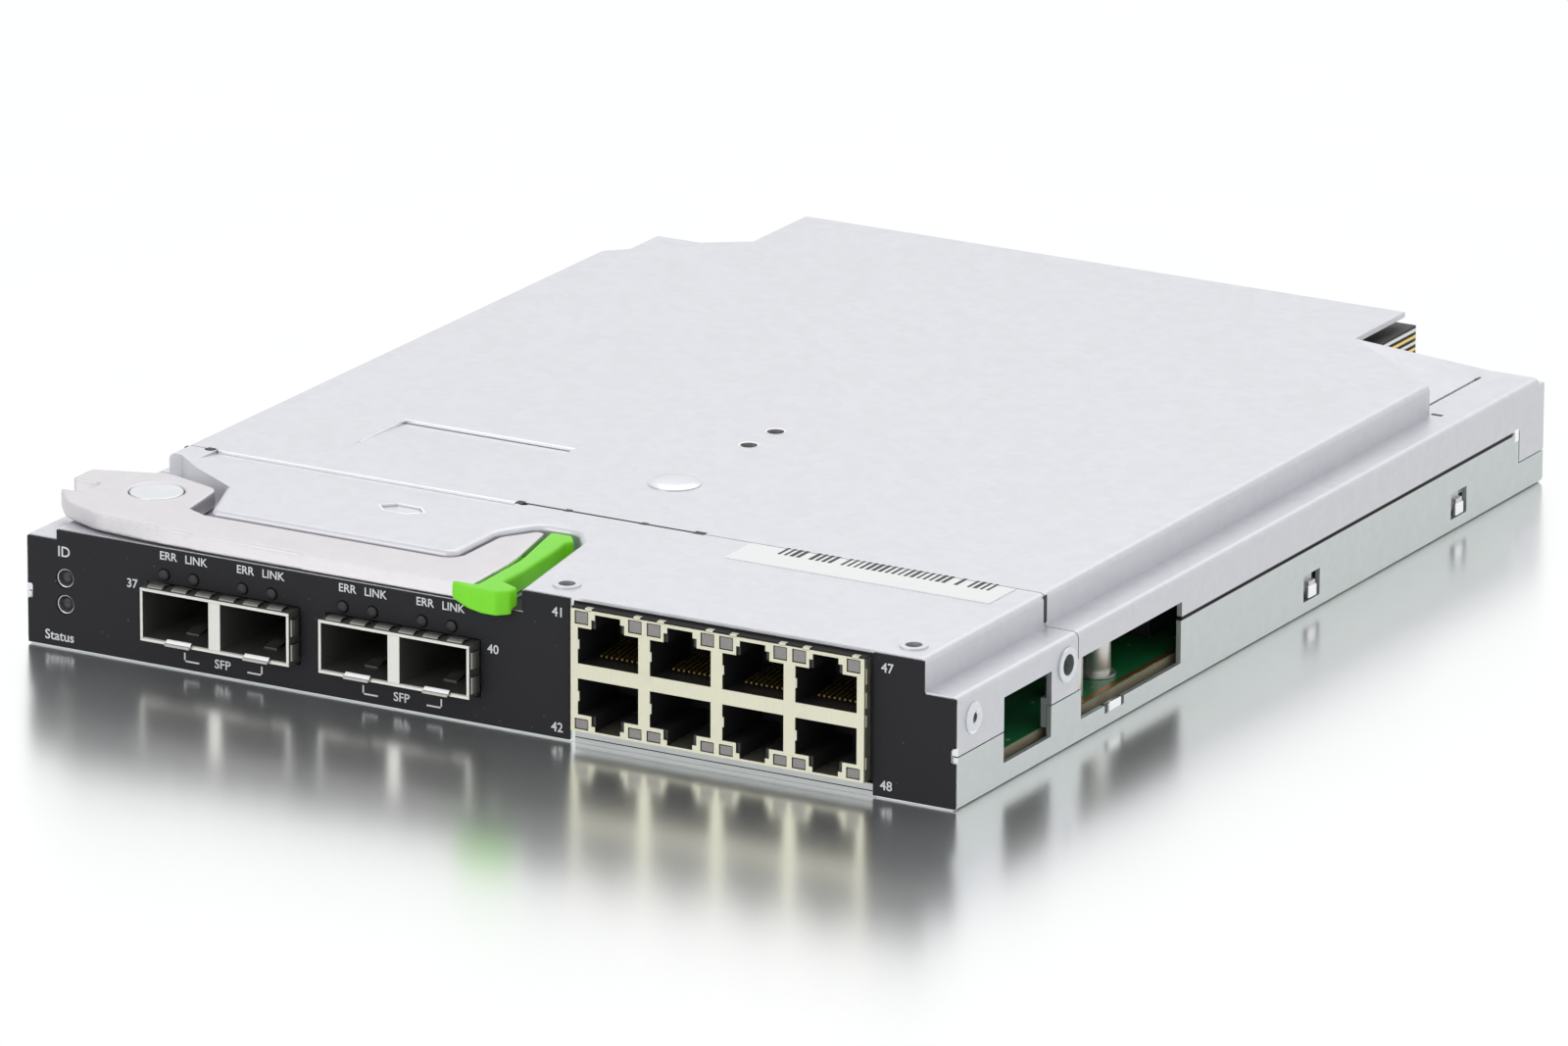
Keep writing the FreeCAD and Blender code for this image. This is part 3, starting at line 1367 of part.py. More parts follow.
THIN = D.jack_wall
jack_outline = rect(JACK_X, JACK_END, D.jack_bottom, D.jack_top)
face = new_body("jack_face")
pad(face, plan(face, "XZ_Plane", D.jack_front + THIN, [jack_outline]), THIN)
mouths = pocket(face, plan(face, "XZ_Plane", D.jack_front - SHEET, port_lines(ZERO)), THIN * 2 + SHEET)
repeat(face, [mouths], "X_Axis", D.jack_pitch, PORTS)
views = pocket(face, plan(face, "XZ_Plane", D.jack_front - SHEET, lamp_lines(ZERO)), THIN * 2 + SHEET)
repeat(face, [views], "X_Axis", D.jack_pitch, PORTS)
finish(face, "jack_face")

shield = new_body("jack_shield")
shell = plan(shield, "XZ_Plane", D.jack_front + THIN, [jack_outline])
pad(shield, shell, D.jack_rear - D.jack_front - THIN, backwards=True)
core = rect(JACK_X + THIN, JACK_END - THIN, D.jack_bottom + THIN, D.jack_top - THIN)
pocket(shield, plan(shield, "XZ_Plane", D.jack_rear, [core]), D.jack_rear - D.jack_front, backwards=True)
ears = [
    rect(JACK_X - D.jack_ear_width, JACK_X + THIN, D.jack_ear_y, D.jack_ear_y + D.jack_ear_length),
    rect(JACK_END - THIN, JACK_END + D.jack_ear_width, D.jack_ear_y, D.jack_ear_y + D.jack_ear_length),
]
pad(shield, plan(shield, "XY_Plane", BOARD_TOP, ears), THIN)
finish(shield, "jack_shield")

housing = new_body("jack_housing")
CLEAR = THIN + D.jack_fit
solid_line = rect(JACK_X + CLEAR, JACK_END - CLEAR, D.jack_bottom + CLEAR, D.jack_top - CLEAR)
HOUSING_LENGTH = D.jack_rear - D.jack_front - CLEAR * 2
pad(housing, plan(housing, "XZ_Plane", D.jack_front + CLEAR, [solid_line]), HOUSING_LENGTH, backwards=True)
cavities = pocket(housing, plan(housing, "XZ_Plane", D.jack_front, port_lines(D.jack_fit)), D.jack_depth)
repeat(housing, [cavities], "X_Axis", D.jack_pitch, PORTS)
WELL_DEPTH = D.jack_lamp_depth + D.jack_fit
lamp_wells = pocket(housing, plan(housing, "XZ_Plane", D.jack_front, lamp_lines(D.jack_fit)), WELL_DEPTH)
repeat(housing, [lamp_wells], "X_Axis", D.jack_pitch, PORTS)
finish(housing, "jack_housing")

jack_lamps = []
lamp_size = (D.jack_lamp_width - D.jack_fit * 2, WELL_DEPTH - THIN / 2, D.jack_lamp_height - D.jack_fit * 2)
for column in range(PORTS):
    for x in LAMP_LEFTS:
        for z in LAMP_LOWS:
            jack_lamps.append(box(
                (x + D.jack_pitch * column + D.jack_fit, D.jack_front + THIN / 2, z + D.jack_fit),
                lamp_size,
            ))
finish(group(jack_lamps), "jack_lamps")

for row, (base, sign) in enumerate(((D.jack_mid_top, 1), (D.jack_mid_bottom, -1))):
    wires = new_body("jack_wires")
    side_line = [
        (D.wire_front, base + D.wire_lift * sign),
        (D.jack_front + D.jack_depth, base + (D.wire_lift + D.wire_rise) * sign),
        (D.jack_front + D.jack_depth, base + (D.wire_lift + D.wire_rise + D.wire_width) * sign),
        (D.wire_front, base + (D.wire_lift + D.wire_width) * sign),
    ]
    first_wire = JACK_FIRST + (D.jack_opening - D.wire_pitch * (WIRES - 1) - D.wire_width) / 2
    wire = pad(wires, plan(wires, "YZ_Plane", first_wire, [side_line]), D.wire_width)
    repeat(wires, [wire], "X_Axis", D.wire_pitch, WIRES, (D.jack_pitch, PORTS))
    finish(wires, ("jack_wires_upper", "jack_wires_lower")[row])

# Main board, its posts and screws
board = new_body("main_board")
board_line = [
    (D.board_inset, D.board_front),
    (JACK_LEFT - D.board_jack_margin, D.board_front),
    (JACK_LEFT - D.board_jack_margin, D.jack_rear + D.board_jack_margin),
    (JACK_RIGHT + D.board_jack_margin, D.jack_rear + D.board_jack_margin),
    (JACK_RIGHT + D.board_jack_margin, D.board_front),
    (far(D.board_inset), D.board_front),
    (far(D.board_inset), rear(D.board_rear_inset)),
    (D.board_inset, rear(D.board_rear_inset)),
]
pad(board, plan(board, "XY_Plane", D.board_bottom, [board_line]), D.board_thickness)
POST_ROWS = (D.post_front_y, D.post_mid_y, rear(D.post_rear_inset))
POSTS = [(x, y) for x in (D.post_inset_x, far(D.post_inset_x)) for y in POST_ROWS]
board_holes = [
    flat_sided((x, y, D.board_bottom - SHEET), D.screw_radius + FIT, D.board_thickness + SHEET * 2, HEX_SIDES)
    for x, y in POSTS
]
finish(cut(board, board_holes), "main_board")
posts = [
    cut(
        flat_sided((x, y, SHEET), D.post_radius, D.board_bottom - SHEET, HEX_SIDES),
        [flat_sided((x, y, SHEET + FIT), D.post_bore, D.board_bottom, HEX_SIDES)],
    )
    for x, y in POSTS
]
finish(group(posts), "board_posts")
screws = [
    join([
        flat_sided((x, y, BOARD_TOP), D.screw_head_radius, D.screw_head_height, HEX_SIDES),
        flat_sided((x, y, SHEET + FIT * 3), D.screw_radius, BOARD_TOP - SHEET - FIT * 2, HEX_SIDES),
    ])
    for x, y in POSTS
]
finish(group(screws), "board_screws")
tall_posts = [
    rod((x, D.tall_post_y, BOARD_TOP), D.tall_post_radius, SHOULDER - SHEET - BOARD_TOP)
    for x in (D.tall_post_inset, far(D.tall_post_inset))
]
finish(group(tall_posts), "cover_posts")

# Side rivets and clinch nuts
rivets = []
nuts = []
for edge, sign in ((RIGHT, 1), (ZERO, -1)):
    head_start = edge if sign > 0 else ZERO - D.rivet_rise
    shank_start = edge - D.rivet_length if sign > 0 else edge
    rivets.append(join([
        rod((head_start, D.rivet_y, D.rivet_z), D.rivet_radius, D.rivet_rise, "x"),
        rod((shank_start, D.rivet_y, D.rivet_z), D.rivet_shank, D.rivet_length, "x"),
    ]))
    rim_start = edge if sign > 0 else ZERO - D.nut_rim_rise
    barrel_start = edge - D.nut_length if sign > 0 else edge
    body_start = edge - D.nut_length if sign > 0 else edge + SHEET
    thread_start = edge - D.nut_length * 2 if sign > 0 else edge - D.nut_length
    nuts.append(cut(
        join([
            rod((rim_start, D.nut_y, D.nut_z), D.nut_rim_radius, D.nut_rim_rise, "x"),
            rod((barrel_start, D.nut_y, D.nut_z), D.nut_barrel_radius, D.nut_length, "x"),
            flat_sided((body_start, D.nut_y, D.nut_z), D.nut_body_radius, D.nut_length - SHEET, HEX_SIDES, "x"),
        ]),
        [rod((thread_start, D.nut_y, D.nut_z), D.nut_thread_radius, D.nut_length * 3, "x")],
    ))
finish(group(rivets), "side_rivets")
finish(group(nuts), "side_nuts")

# Domed stud on the cover and the sticker on the front plate
stud = new_body("cover_stud")
profile = plan(stud, "XZ_Plane", D.stud_y, [[
    (D.stud_x, TOP - D.stud_stem_length),
    (D.stud_x + D.stud_stem, TOP - D.stud_stem_length),
    (D.stud_x + D.stud_stem, TOP),
    (D.stud_x + D.stud_radius, TOP),
    (D.stud_x + D.stud_radius, TOP + D.stud_rim),
    (D.stud_x + D.stud_crown, TOP + D.stud_rise),
    (D.stud_x, TOP + D.stud_rise),
]])
turn = stud.newObject("PartDesign::Revolution", "Revolution")
turn.Profile = profile
turn.ReferenceAxis = (profile, ["Edge7"])
turn.Angle = 360
doc.recompute()
finish(stud, "cover_stud")
sticker = box(
    (far(D.sticker_left_inset), D.sticker_front, TOP),
    (
        D.sticker_left_inset - D.sticker_right_inset,
        D.sticker_rear - D.sticker_front,
        D.sticker_thickness,
    ),
)
finish(sticker, "plate_sticker")

# Parts on the board
chip = box(
    (D.chip_x - D.chip_size / 2, D.chip_y - D.chip_size / 2, BOARD_TOP),
    (D.chip_size, D.chip_size, D.chip_height),
)
finish(chip, "switch_chip")
sink = new_body("heat_sink")
SINK_LEFT = D.chip_x - D.sink_size / 2
SINK_FRONT = D.chip_y - D.sink_size / 2
SINK_BOTTOM = BOARD_TOP + D.chip_height
plate = rect(SINK_LEFT, SINK_LEFT + D.sink_size, SINK_FRONT, SINK_FRONT + D.sink_size)
pad(sink, plan(sink, "XY_Plane", SINK_BOTTOM, [plate]), D.sink_base)
FIN_PITCH = D.sink_fin_width + D.sink_fin_gap
FIN_COUNT = int((D.sink_size.value - D.sink_fin_width.value) / FIN_PITCH.value) + 1
FIN_LEFT = SINK_LEFT + (D.sink_size - FIN_PITCH * (FIN_COUNT - 1) - D.sink_fin_width) / 2
fin_line = rect(FIN_LEFT, FIN_LEFT + D.sink_fin_width, SINK_FRONT, SINK_FRONT + D.sink_size)
fin = pad(sink, plan(sink, "XY_Plane", SINK_BOTTOM + D.sink_base, [fin_line]), D.sink_fin_height)
repeat(sink, [fin], "X_Axis", FIN_PITCH, FIN_COUNT)
finish(sink, "heat_sink")
phys = [
    box(
        (JACK_X + D.phy_start + D.phy_pitch * number, D.phy_y, BOARD_TOP),
        (D.phy_size, D.phy_size, D.phy_height),
    )
    for number in range(3)
]
finish(group(phys), "port_chips")
cpu = box(
    (D.cpu_x - D.cpu_size / 2, D.cpu_y - D.cpu_size / 2, BOARD_TOP),
    (D.cpu_size, D.cpu_size, D.cpu_height),
)
finish(cpu, "control_chip")
memories = [
    box(
        (D.memory_x + D.memory_pitch * number, D.memory_y, BOARD_TOP),
        (D.memory_width, D.memory_length, D.memory_height),
    )
    for number in range(2)
]
finish(group(memories), "memory_chips")
coils = [
    box(
        (far(D.coil_inset) + D.coil_pitch * number, rear(D.coil_rear_inset), BOARD_TOP),
        (D.coil_size, D.coil_size, D.coil_height),
    )
    for number in range(3)
]
finish(group(coils), "power_coils")
CANS = 4
can_row = [far(D.can_inset) + D.can_pitch * number for number in range(CANS)]
can_spots = [(x, rear(D.can_rear_inset), BOARD_TOP) for x in can_row]
cans = [flat_sided(spot, D.can_radius, D.can_height, CAN_SIDES) for spot in can_spots]
finish(group(cans), "power_capacitors")

# Connectors at the rear edge
PLUGS = 3
CELLS = 8
BLADES = 3
POWER_LEFT = far(D.power_inset)
PLUG_PITCH = (POWER_LEFT - D.plug_clearance - D.plug_first_x + D.plug_gap) / PLUGS
PLUG_WIDTH = PLUG_PITCH - D.plug_gap
CELL_PITCH = (PLUG_WIDTH - D.plug_cell_wall * 2) / CELLS
CELL_LOW = BOARD_TOP + D.plug_cell_base
CELL_HIGH = PLUG_TOP - D.plug_cell
for number in range(PLUGS):
    left = D.plug_first_x + PLUG_PITCH * number
    block = new_body("midplane_connector")
    side_line = [
        (rear(D.plug_block_front_inset), BOARD_TOP),
        (PLUG_REAR, BOARD_TOP),
        (PLUG_REAR, PLUG_TOP),
        (rear(D.plug_hood_front_inset), PLUG_TOP),
        (rear(D.plug_hood_front_inset), BOARD_TOP + D.plug_block_height),
        (rear(D.plug_block_front_inset), BOARD_TOP + D.plug_block_height),
    ]
    pad(block, plan(block, "YZ_Plane", left, [side_line]), PLUG_WIDTH)
    cell = rect(left + D.plug_cell_wall * 2, left + D.plug_cell_wall + CELL_PITCH, CELL_LOW, CELL_HIGH)
    cells = pocket(block, plan(block, "XZ_Plane", PLUG_REAR, [cell]), D.plug_cell_depth, backwards=True)
    repeat(block, [cells], "X_Axis", CELL_PITCH, CELLS)
    finish(block, "midplane_connector_%d" % (number + 1))
power = new_body("power_connector")
POWER_RIGHT = POWER_LEFT + D.power_width
MOUTH_DEPTH = D.blade_length + D.plug_cell
BLADE_LEFT = POWER_LEFT + D.blade_inset
power_line = rect(POWER_LEFT, POWER_RIGHT, rear(D.plug_block_front_inset), PLUG_REAR)
pad(power, plan(power, "XY_Plane", BOARD_TOP, [power_line]), D.plug_hood_height)
mouth = rect(POWER_LEFT + D.plug_cell, POWER_RIGHT - D.plug_cell, CELL_LOW, CELL_HIGH)
pocket(power, plan(power, "XZ_Plane", PLUG_REAR, [mouth]), MOUTH_DEPTH, backwards=True)
finish(power, "power_connector")
blades = [
    box(
        (BLADE_LEFT + D.blade_pitch * number, PLUG_REAR - MOUTH_DEPTH, BOARD_TOP + D.blade_base),
        (D.blade_width, D.blade_length, D.blade_height),
    )
    for number in range(BLADES)
]
finish(group(blades), "power_blades")

# Every piece is checked before it is written
doc.recompute()
for item in doc.Objects:
    if "Invalid" in item.State or "Error" in item.State:
        raise RuntimeError("%s did not build: %s" % (item.Name, item.State))
for item in FINISHED:
    if item.Shape.isNull() or not item.Shape.isValid():
        raise RuntimeError(item.Label + " has no sound shape")
for item in FINISHED:
    item.Shape.exportStep("parts/%s.step" % item.Label)
print(len(FINISHED), "pieces written")
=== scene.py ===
import math

import bmesh
import bpy
from bpy.props import FloatProperty, FloatVectorProperty, IntProperty, PointerProperty
from bpy.types import Operator, Panel, PropertyGroup
from mathutils import Matrix, Vector


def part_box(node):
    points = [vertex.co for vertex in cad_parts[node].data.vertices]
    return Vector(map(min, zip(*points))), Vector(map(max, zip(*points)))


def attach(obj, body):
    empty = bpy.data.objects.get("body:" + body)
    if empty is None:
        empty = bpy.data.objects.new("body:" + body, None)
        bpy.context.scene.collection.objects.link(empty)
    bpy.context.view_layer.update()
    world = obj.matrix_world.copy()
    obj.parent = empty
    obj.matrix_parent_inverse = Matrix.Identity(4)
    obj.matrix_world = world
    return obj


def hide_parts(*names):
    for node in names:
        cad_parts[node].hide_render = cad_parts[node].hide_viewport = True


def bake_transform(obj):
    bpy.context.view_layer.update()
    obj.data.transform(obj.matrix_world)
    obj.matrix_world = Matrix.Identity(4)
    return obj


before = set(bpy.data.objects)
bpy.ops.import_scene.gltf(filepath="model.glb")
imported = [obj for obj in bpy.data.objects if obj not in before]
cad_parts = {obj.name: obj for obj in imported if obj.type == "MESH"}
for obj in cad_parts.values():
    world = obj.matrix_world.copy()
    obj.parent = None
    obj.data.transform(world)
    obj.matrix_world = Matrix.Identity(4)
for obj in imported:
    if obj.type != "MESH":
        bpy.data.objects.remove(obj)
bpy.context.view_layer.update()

bl_info = {
    "name": "Blade switch module",
    "version": (1, 0, 0),
    "blender": (4, 5, 0),
    "location": "View3D > Sidebar > Switch",
    "description": "Dresses the packed blade switch module and sets up its studio",
    "category": "Object",
}

MM = 0.001
TRAY_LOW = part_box("base_tray")[0]
FRONT_FACE = -0.4
PRINT_LIFT = 0.03
PRINT_BOLD = 0.03
TOP = 26.2
WIDTH = 187.0
BOARD_TOP = 5.1
CAGE_STARTS = (25.7, 62.2)
CAGE_FRONT = -3.5
BAY_PITCH = 16.0
JACK_LEFT = 112.2
JACK_RIGHT = 170.0
JACK_FIRST = 113.65
JACK_PITCH = 14.3
JACK_FRONT = -2.3
PORTS = 4


def at(x, y, z):
    """Turn millimetres from the left edge, the front plane and the underside into the shared frame."""
    return Vector((x * MM + TRAY_LOW.x, y * MM + TRAY_LOW.y, z * MM))


def step(x=0.0, y=0.0, z=0.0):
    """Return a move in millimetres as metres."""
    return Vector((x, y, z)) * MM


def mirrored(spans):
    """Return spans of (low, high) corners in millimetres together with their twins on the left side."""
    twins = [((WIDTH - high[0], *low[1:]), (WIDTH - low[0], *high[1:])) for low, high in spans]
    return list(spans) + twins


# Node trees
class Works:
    """Builds nodes in one tree through a single method."""

    def __init__(self, tree, prefix):
        self.tree = tree
        self.prefix = prefix

    def node(self, kind, settings=None, inputs=None, output=0):
        """Add a node, apply its settings, fill its sockets, and return one output."""
        made = self.tree.nodes.new(self.prefix + kind)
        for key, value in (settings or {}).items():
            setattr(made, key, value)
        for key, value in (inputs or {}).items():
            self.feed(made.inputs[key], value)
        return Link(self, made.outputs[output]) if len(made.outputs) else made

    def feed(self, socket, value):
        """Link a socket to another, or set its value."""
        if isinstance(value, Link):
            self.tree.links.new(value.socket, socket)
        else:
            socket.default_value = value


class Link:
    """An output socket that adds Math nodes when it is used in an expression."""

    def __init__(self, works, socket):
        self.works = works
        self.socket = socket

    def math(self, operation, first, second):
        return self.works.node("Math", {"operation": operation}, {0: first, 1: second})

    def __add__(self, other):
        return self.math("ADD", self, other)

    def __radd__(self, other):
        return self.math("ADD", other, self)

    def __sub__(self, other):
        return self.math("SUBTRACT", self, other)

    def __rsub__(self, other):
        return self.math("SUBTRACT", other, self)

    def __mul__(self, other):
        return self.math("MULTIPLY", self, other)

    def __rmul__(self, other):
        return self.math("MULTIPLY", other, self)

    def above(self, limit):
        """Return 1 where the value is over a limit, otherwise 0."""
        return self.math("GREATER_THAN", self, limit)


class Finish(Works):
    """A material whose colour, roughness and relief come from procedural nodes."""

    def __init__(self, name):
        self.material = bpy.data.materials.new(name)
        self.material.use_nodes = True
        super().__init__(self.material.node_tree, "ShaderNode")
        self.tree.nodes.clear()
        self.place = self.node("TexCoord", output="Object")

    def stretched(self, x=1.0, y=1.0, z=1.0):
        """Return the object's coordinates scaled along each axis."""
        return self.node("Mapping", {"vector_type": "TEXTURE"}, {"Vector": self.place, "Scale": (x, y, z)})

    def noise(self, size, detail=4.0, rough=0.55, place=None):
        """Return a cloudy pattern whose features are about size millimetres across."""
        return self.node("TexNoise", None, {
            "Vector": place or self.place, "Scale": 1.0 / (size * MM), "Detail": detail, "Roughness": rough,
        })

    def cells(self, size):
        """Return a value that is constant over crystal-like cells."""
        grey = self.node("TexVoronoi", None, {"Vector": self.place, "Scale": 1.0 / (size * MM)}, "Color")
        return self.node("SeparateColor", None, {"Color": grey}, "Red")

    def runs(self, axis, scale, twist, finer):
        """Return wavering parallel lines across an axis."""
        wave = self.node("TexWave", {"bands_direction": axis}, {
            "Vector": self.place, "Scale": scale, "Distortion": twist, "Detail": 1.0, "Detail Scale": finer,
        }, "Fac")
        return self.band(wave, 0.62, 0.72)

    def along(self, axis):
        """Return one coordinate in millimetres from the tray's corner."""
        corner = {"X": TRAY_LOW.x, "Y": TRAY_LOW.y, "Z": 0.0}[axis]
        return (self.node("SeparateXYZ", None, {"Vector": self.place}, axis) - corner) * (1.0 / MM)

    def line(self, axis, middle, half, other, start, end):
        """Return 1 on a thin line across an axis, between two places along another one."""
        off = self.node("Math", {"operation": "ABSOLUTE"}, {0: self.along(axis) - middle})
        reach = self.along(other)
        return (1.0 - self.band(off, half * 0.6, half)) * reach.above(start) * (1.0 - reach.above(end))

    def band(self, value, low, high):
        """Return a smooth step from 0 at low to 1 at high."""
        return self.node("MapRange", {"interpolation_type": "SMOOTHSTEP"}, {
            "Value": value, "From Min": low, "From Max": high,
        })

    def blend(self, first, second, factor):
        """Mix two colours."""
        return self.node("Mix", {"data_type": "RGBA"}, {0: factor, 6: colour(first), 7: colour(second)}, 2)

    def relief(self, height, depth, strength=1.0):
        """Return a normal bumped by a height of some millimetres."""
        inputs = {"Height": height, "Distance": depth * MM, "Strength": strength}
        return self.node("Bump", None, inputs, "Normal")

    def surface(self, varying, fixed=None):
        """Close the material with a Principled shader."""
        inputs = {key: colour(value) for key, value in varying.items()}
        inputs.update(fixed or {})
        shader = self.node("BsdfPrincipled", None, inputs)
        self.node("OutputMaterial", None, {"Surface": shader})
        return self.material


def colour(value):
    """Give a plain colour its alpha and leave links and numbers alone."""
    return (*value, 1.0) if hasattr(value, "__len__") and len(value) == 3 else value


def darker(tone, share):
    """Return a colour scaled towards black."""
    return tuple(channel * share for channel in tone)


# Finishes
# Colour of the painted shade along the sheet seams, standing in for the shadow in their gaps
SEAM_SHADE = (0.05, 0.05, 0.055)


def zinc_sheet(name, tone, seams=()):
    """Galvanised sheet: fine crystal cells, rolled grain, faint scuffs, and dark lines of painted shade along
    its seams.
    """
    f = Finish(name)
    grain = f.noise(0.35, 5.0, 0.7)
    rolled = f.noise(0.5, 3.0, 0.6, f.stretched(1.0, 40.0, 1.0))
    mottle = 0.5 * grain + 0.3 * f.cells(1.8) + 0.2 * rolled
    scuff = f.band(f.noise(14.0, 8.0, 0.75), 0.6, 0.78)
    base = f.blend(darker(tone, 0.89), darker(tone, 1.05), mottle)
    worn_and_seam_shaded = f.blend(base, darker(tone, 0.95), scuff * 0.5)
    # Painted shade: each seam gets a dark line for the shadow in its gap
    for seam in seams:
        worn_and_seam_shaded = f.blend(worn_and_seam_shaded, SEAM_SHADE, f.line(*seam))
    return f.surface({
        "Base Color": worn_and_seam_shaded,
        "Roughness": 0.38 + 0.14 * mottle + 0.05 * scuff,
        "Normal": f.relief(grain + 0.5 * rolled, 0.012, 0.5),
    }, {"Metallic": 0.82, "Specular IOR Level": 0.5})


def plated(name, tone, rough, streak=(1.0, 1.0, 1.0), depth=0.006):
    """Plated metal with soft streaks and a satin grain."""
    f = Finish(name)
    streaks = f.noise(0.4, 4.0, 0.6, f.stretched(*streak))
    cloud = f.noise(5.0, 3.0)
    wear = f.band(f.noise(3.0, 7.0, 0.7), 0.55, 0.75)
    mottle = 0.6 * streaks + 0.4 * cloud
    return f.surface({
        "Base Color": f.blend(darker(tone, 0.84), darker(tone, 1.1), mottle),
        "Roughness": rough - 0.06 + 0.14 * mottle + 0.08 * wear,
        "Normal": f.relief(streaks, depth, 0.5),
    }, {"Metallic": 0.88})


def moulded(name, tone, rough, grain=0.25, depth=0.01, coat=0.0):
    """Moulded plastic with a spark-eroded grain and slight flow marks."""
    f = Finish(name)
    texture = f.noise(grain, 3.0, 0.6)
    flow = f.noise(6.0, 4.0)
    return f.surface({
        "Base Color": f.blend(darker(tone, 0.88), darker(tone, 1.1), flow),
        "Roughness": rough - 0.05 + 0.1 * flow + 0.04 * texture,
        "Normal": f.relief(texture, depth, 0.6),
    }, {"Coat Weight": coat, "Coat Roughness": 0.2, "IOR": 1.49})


def printed_film(name, tone):
    """Matt screen-printed film with a leathery grain and stray dust."""
    f = Finish(name)
    grain = f.noise(0.22, 3.0, 0.65)
    cloud = f.noise(12.0, 4.0)
    dust = f.noise(0.6, 1.0, 0.3).above(0.79)
    base = f.blend(darker(tone, 0.8), darker(tone, 1.25), cloud)
    return f.surface({
        "Base Color": f.blend(base, (0.16, 0.16, 0.17), dust * 0.6),
        "Roughness": 0.58 + 0.1 * cloud + 0.06 * grain,
        "Normal": f.relief(grain, 0.012, 0.5),
    }, {"IOR": 1.36})


def solder_mask(name, tone):
    """Green board lacquer over buried tracks, planes and via holes."""
    f = Finish(name)
    cloud = f.noise(7.0, 3.0)
    region = f.cells(16.0).above(0.5)
    tracks = f.runs("X", 420.0, 6.0, 0.6) * region + f.runs("Y", 380.0, 5.0, 0.5) * (1.0 - region)
    spots = f.node("TexVoronoi", None, {"Vector": f.place, "Scale": 300.0}, "Distance")
    vias = 1.0 - f.band(spots, 0.10, 0.16)
    base = f.blend(darker(tone, 0.75), darker(tone, 1.2), cloud)
    lit = f.blend(base, darker(tone, 1.7), tracks * 0.55)
    return f.surface({
        "Base Color": f.blend(lit, (0.62, 0.55, 0.36), vias * 0.8),
        "Roughness": 0.3 + 0.12 * cloud,
        "Normal": f.relief(tracks, 0.03, 0.5),
    }, {"Coat Weight": 0.25, "Coat Roughness": 0.15})


def laminate_edge(name):
    """Routed board edge: glass fibre layers in grey and tan."""
    f = Finish(name)
    layers = f.noise(0.22, 3.0, 0.6, f.stretched(30.0, 30.0, 1.0))
    spots = f.noise(2.5, 5.0)
    return f.surface({
        "Base Color": f.blend((0.17, 0.15, 0.09), (0.42, 0.38, 0.27), 0.6 * layers + 0.4 * spots),
        "Roughness": 0.7 + 0.15 * spots,
        "Normal": f.relief(layers, 0.05),
    })


def paper(name, tone):
    """Matt label stock with faint fibre."""
    f = Finish(name)
    fibre = f.noise(0.3, 5.0, 0.7)
    cloud = f.noise(8.0, 3.0)
    return f.surface({
        "Base Color": f.blend(darker(tone, 0.93), tone, 0.5 * fibre + 0.5 * cloud),
        "Roughness": 0.55 + 0.15 * fibre,
        "Normal": f.relief(fibre, 0.008, 0.5),
    })


def ink(name, tone, patchy):
    """Screen ink that is thin in places."""
    f = Finish(name)
    cover = f.noise(0.3, 3.0, 0.6)
    return f.surface({
        "Base Color": f.blend(darker(tone, 1.0 - patchy), tone, cover),
        "Roughness": 0.5 + 0.2 * cover,
        "Normal": f.relief(cover, 0.006, 0.5),
    })


def lens(name, tone, rough, coat=0.5):
    """Cloudy light guide plastic."""
    f = Finish(name)
    cloud = f.noise(0.7, 4.0)
    speck = f.noise(0.2, 2.0)
    return f.surface({
        "Base Color": f.blend(darker(tone, 0.75), darker(tone, 1.2), cloud),
        "Roughness": rough + 0.12 * speck,
        "Normal": f.relief(speck, 0.008, 0.4),
    }, {"Coat Weight": coat, "Coat Roughness": 0.08})


class Palette:
    """Makes each finish once, on first use."""

    def __init__(self):
        self.made = {}

    def __call__(self, name):
        if name not in self.made:
            look = bpy.context.scene.switch_look
            recipe, *values = RECIPES[name]
            values = [tuple(getattr(look, v)) if isinstance(v, str) else v for v in values]
            self.made[name] = recipe(name, *values)
        return self.made[name]


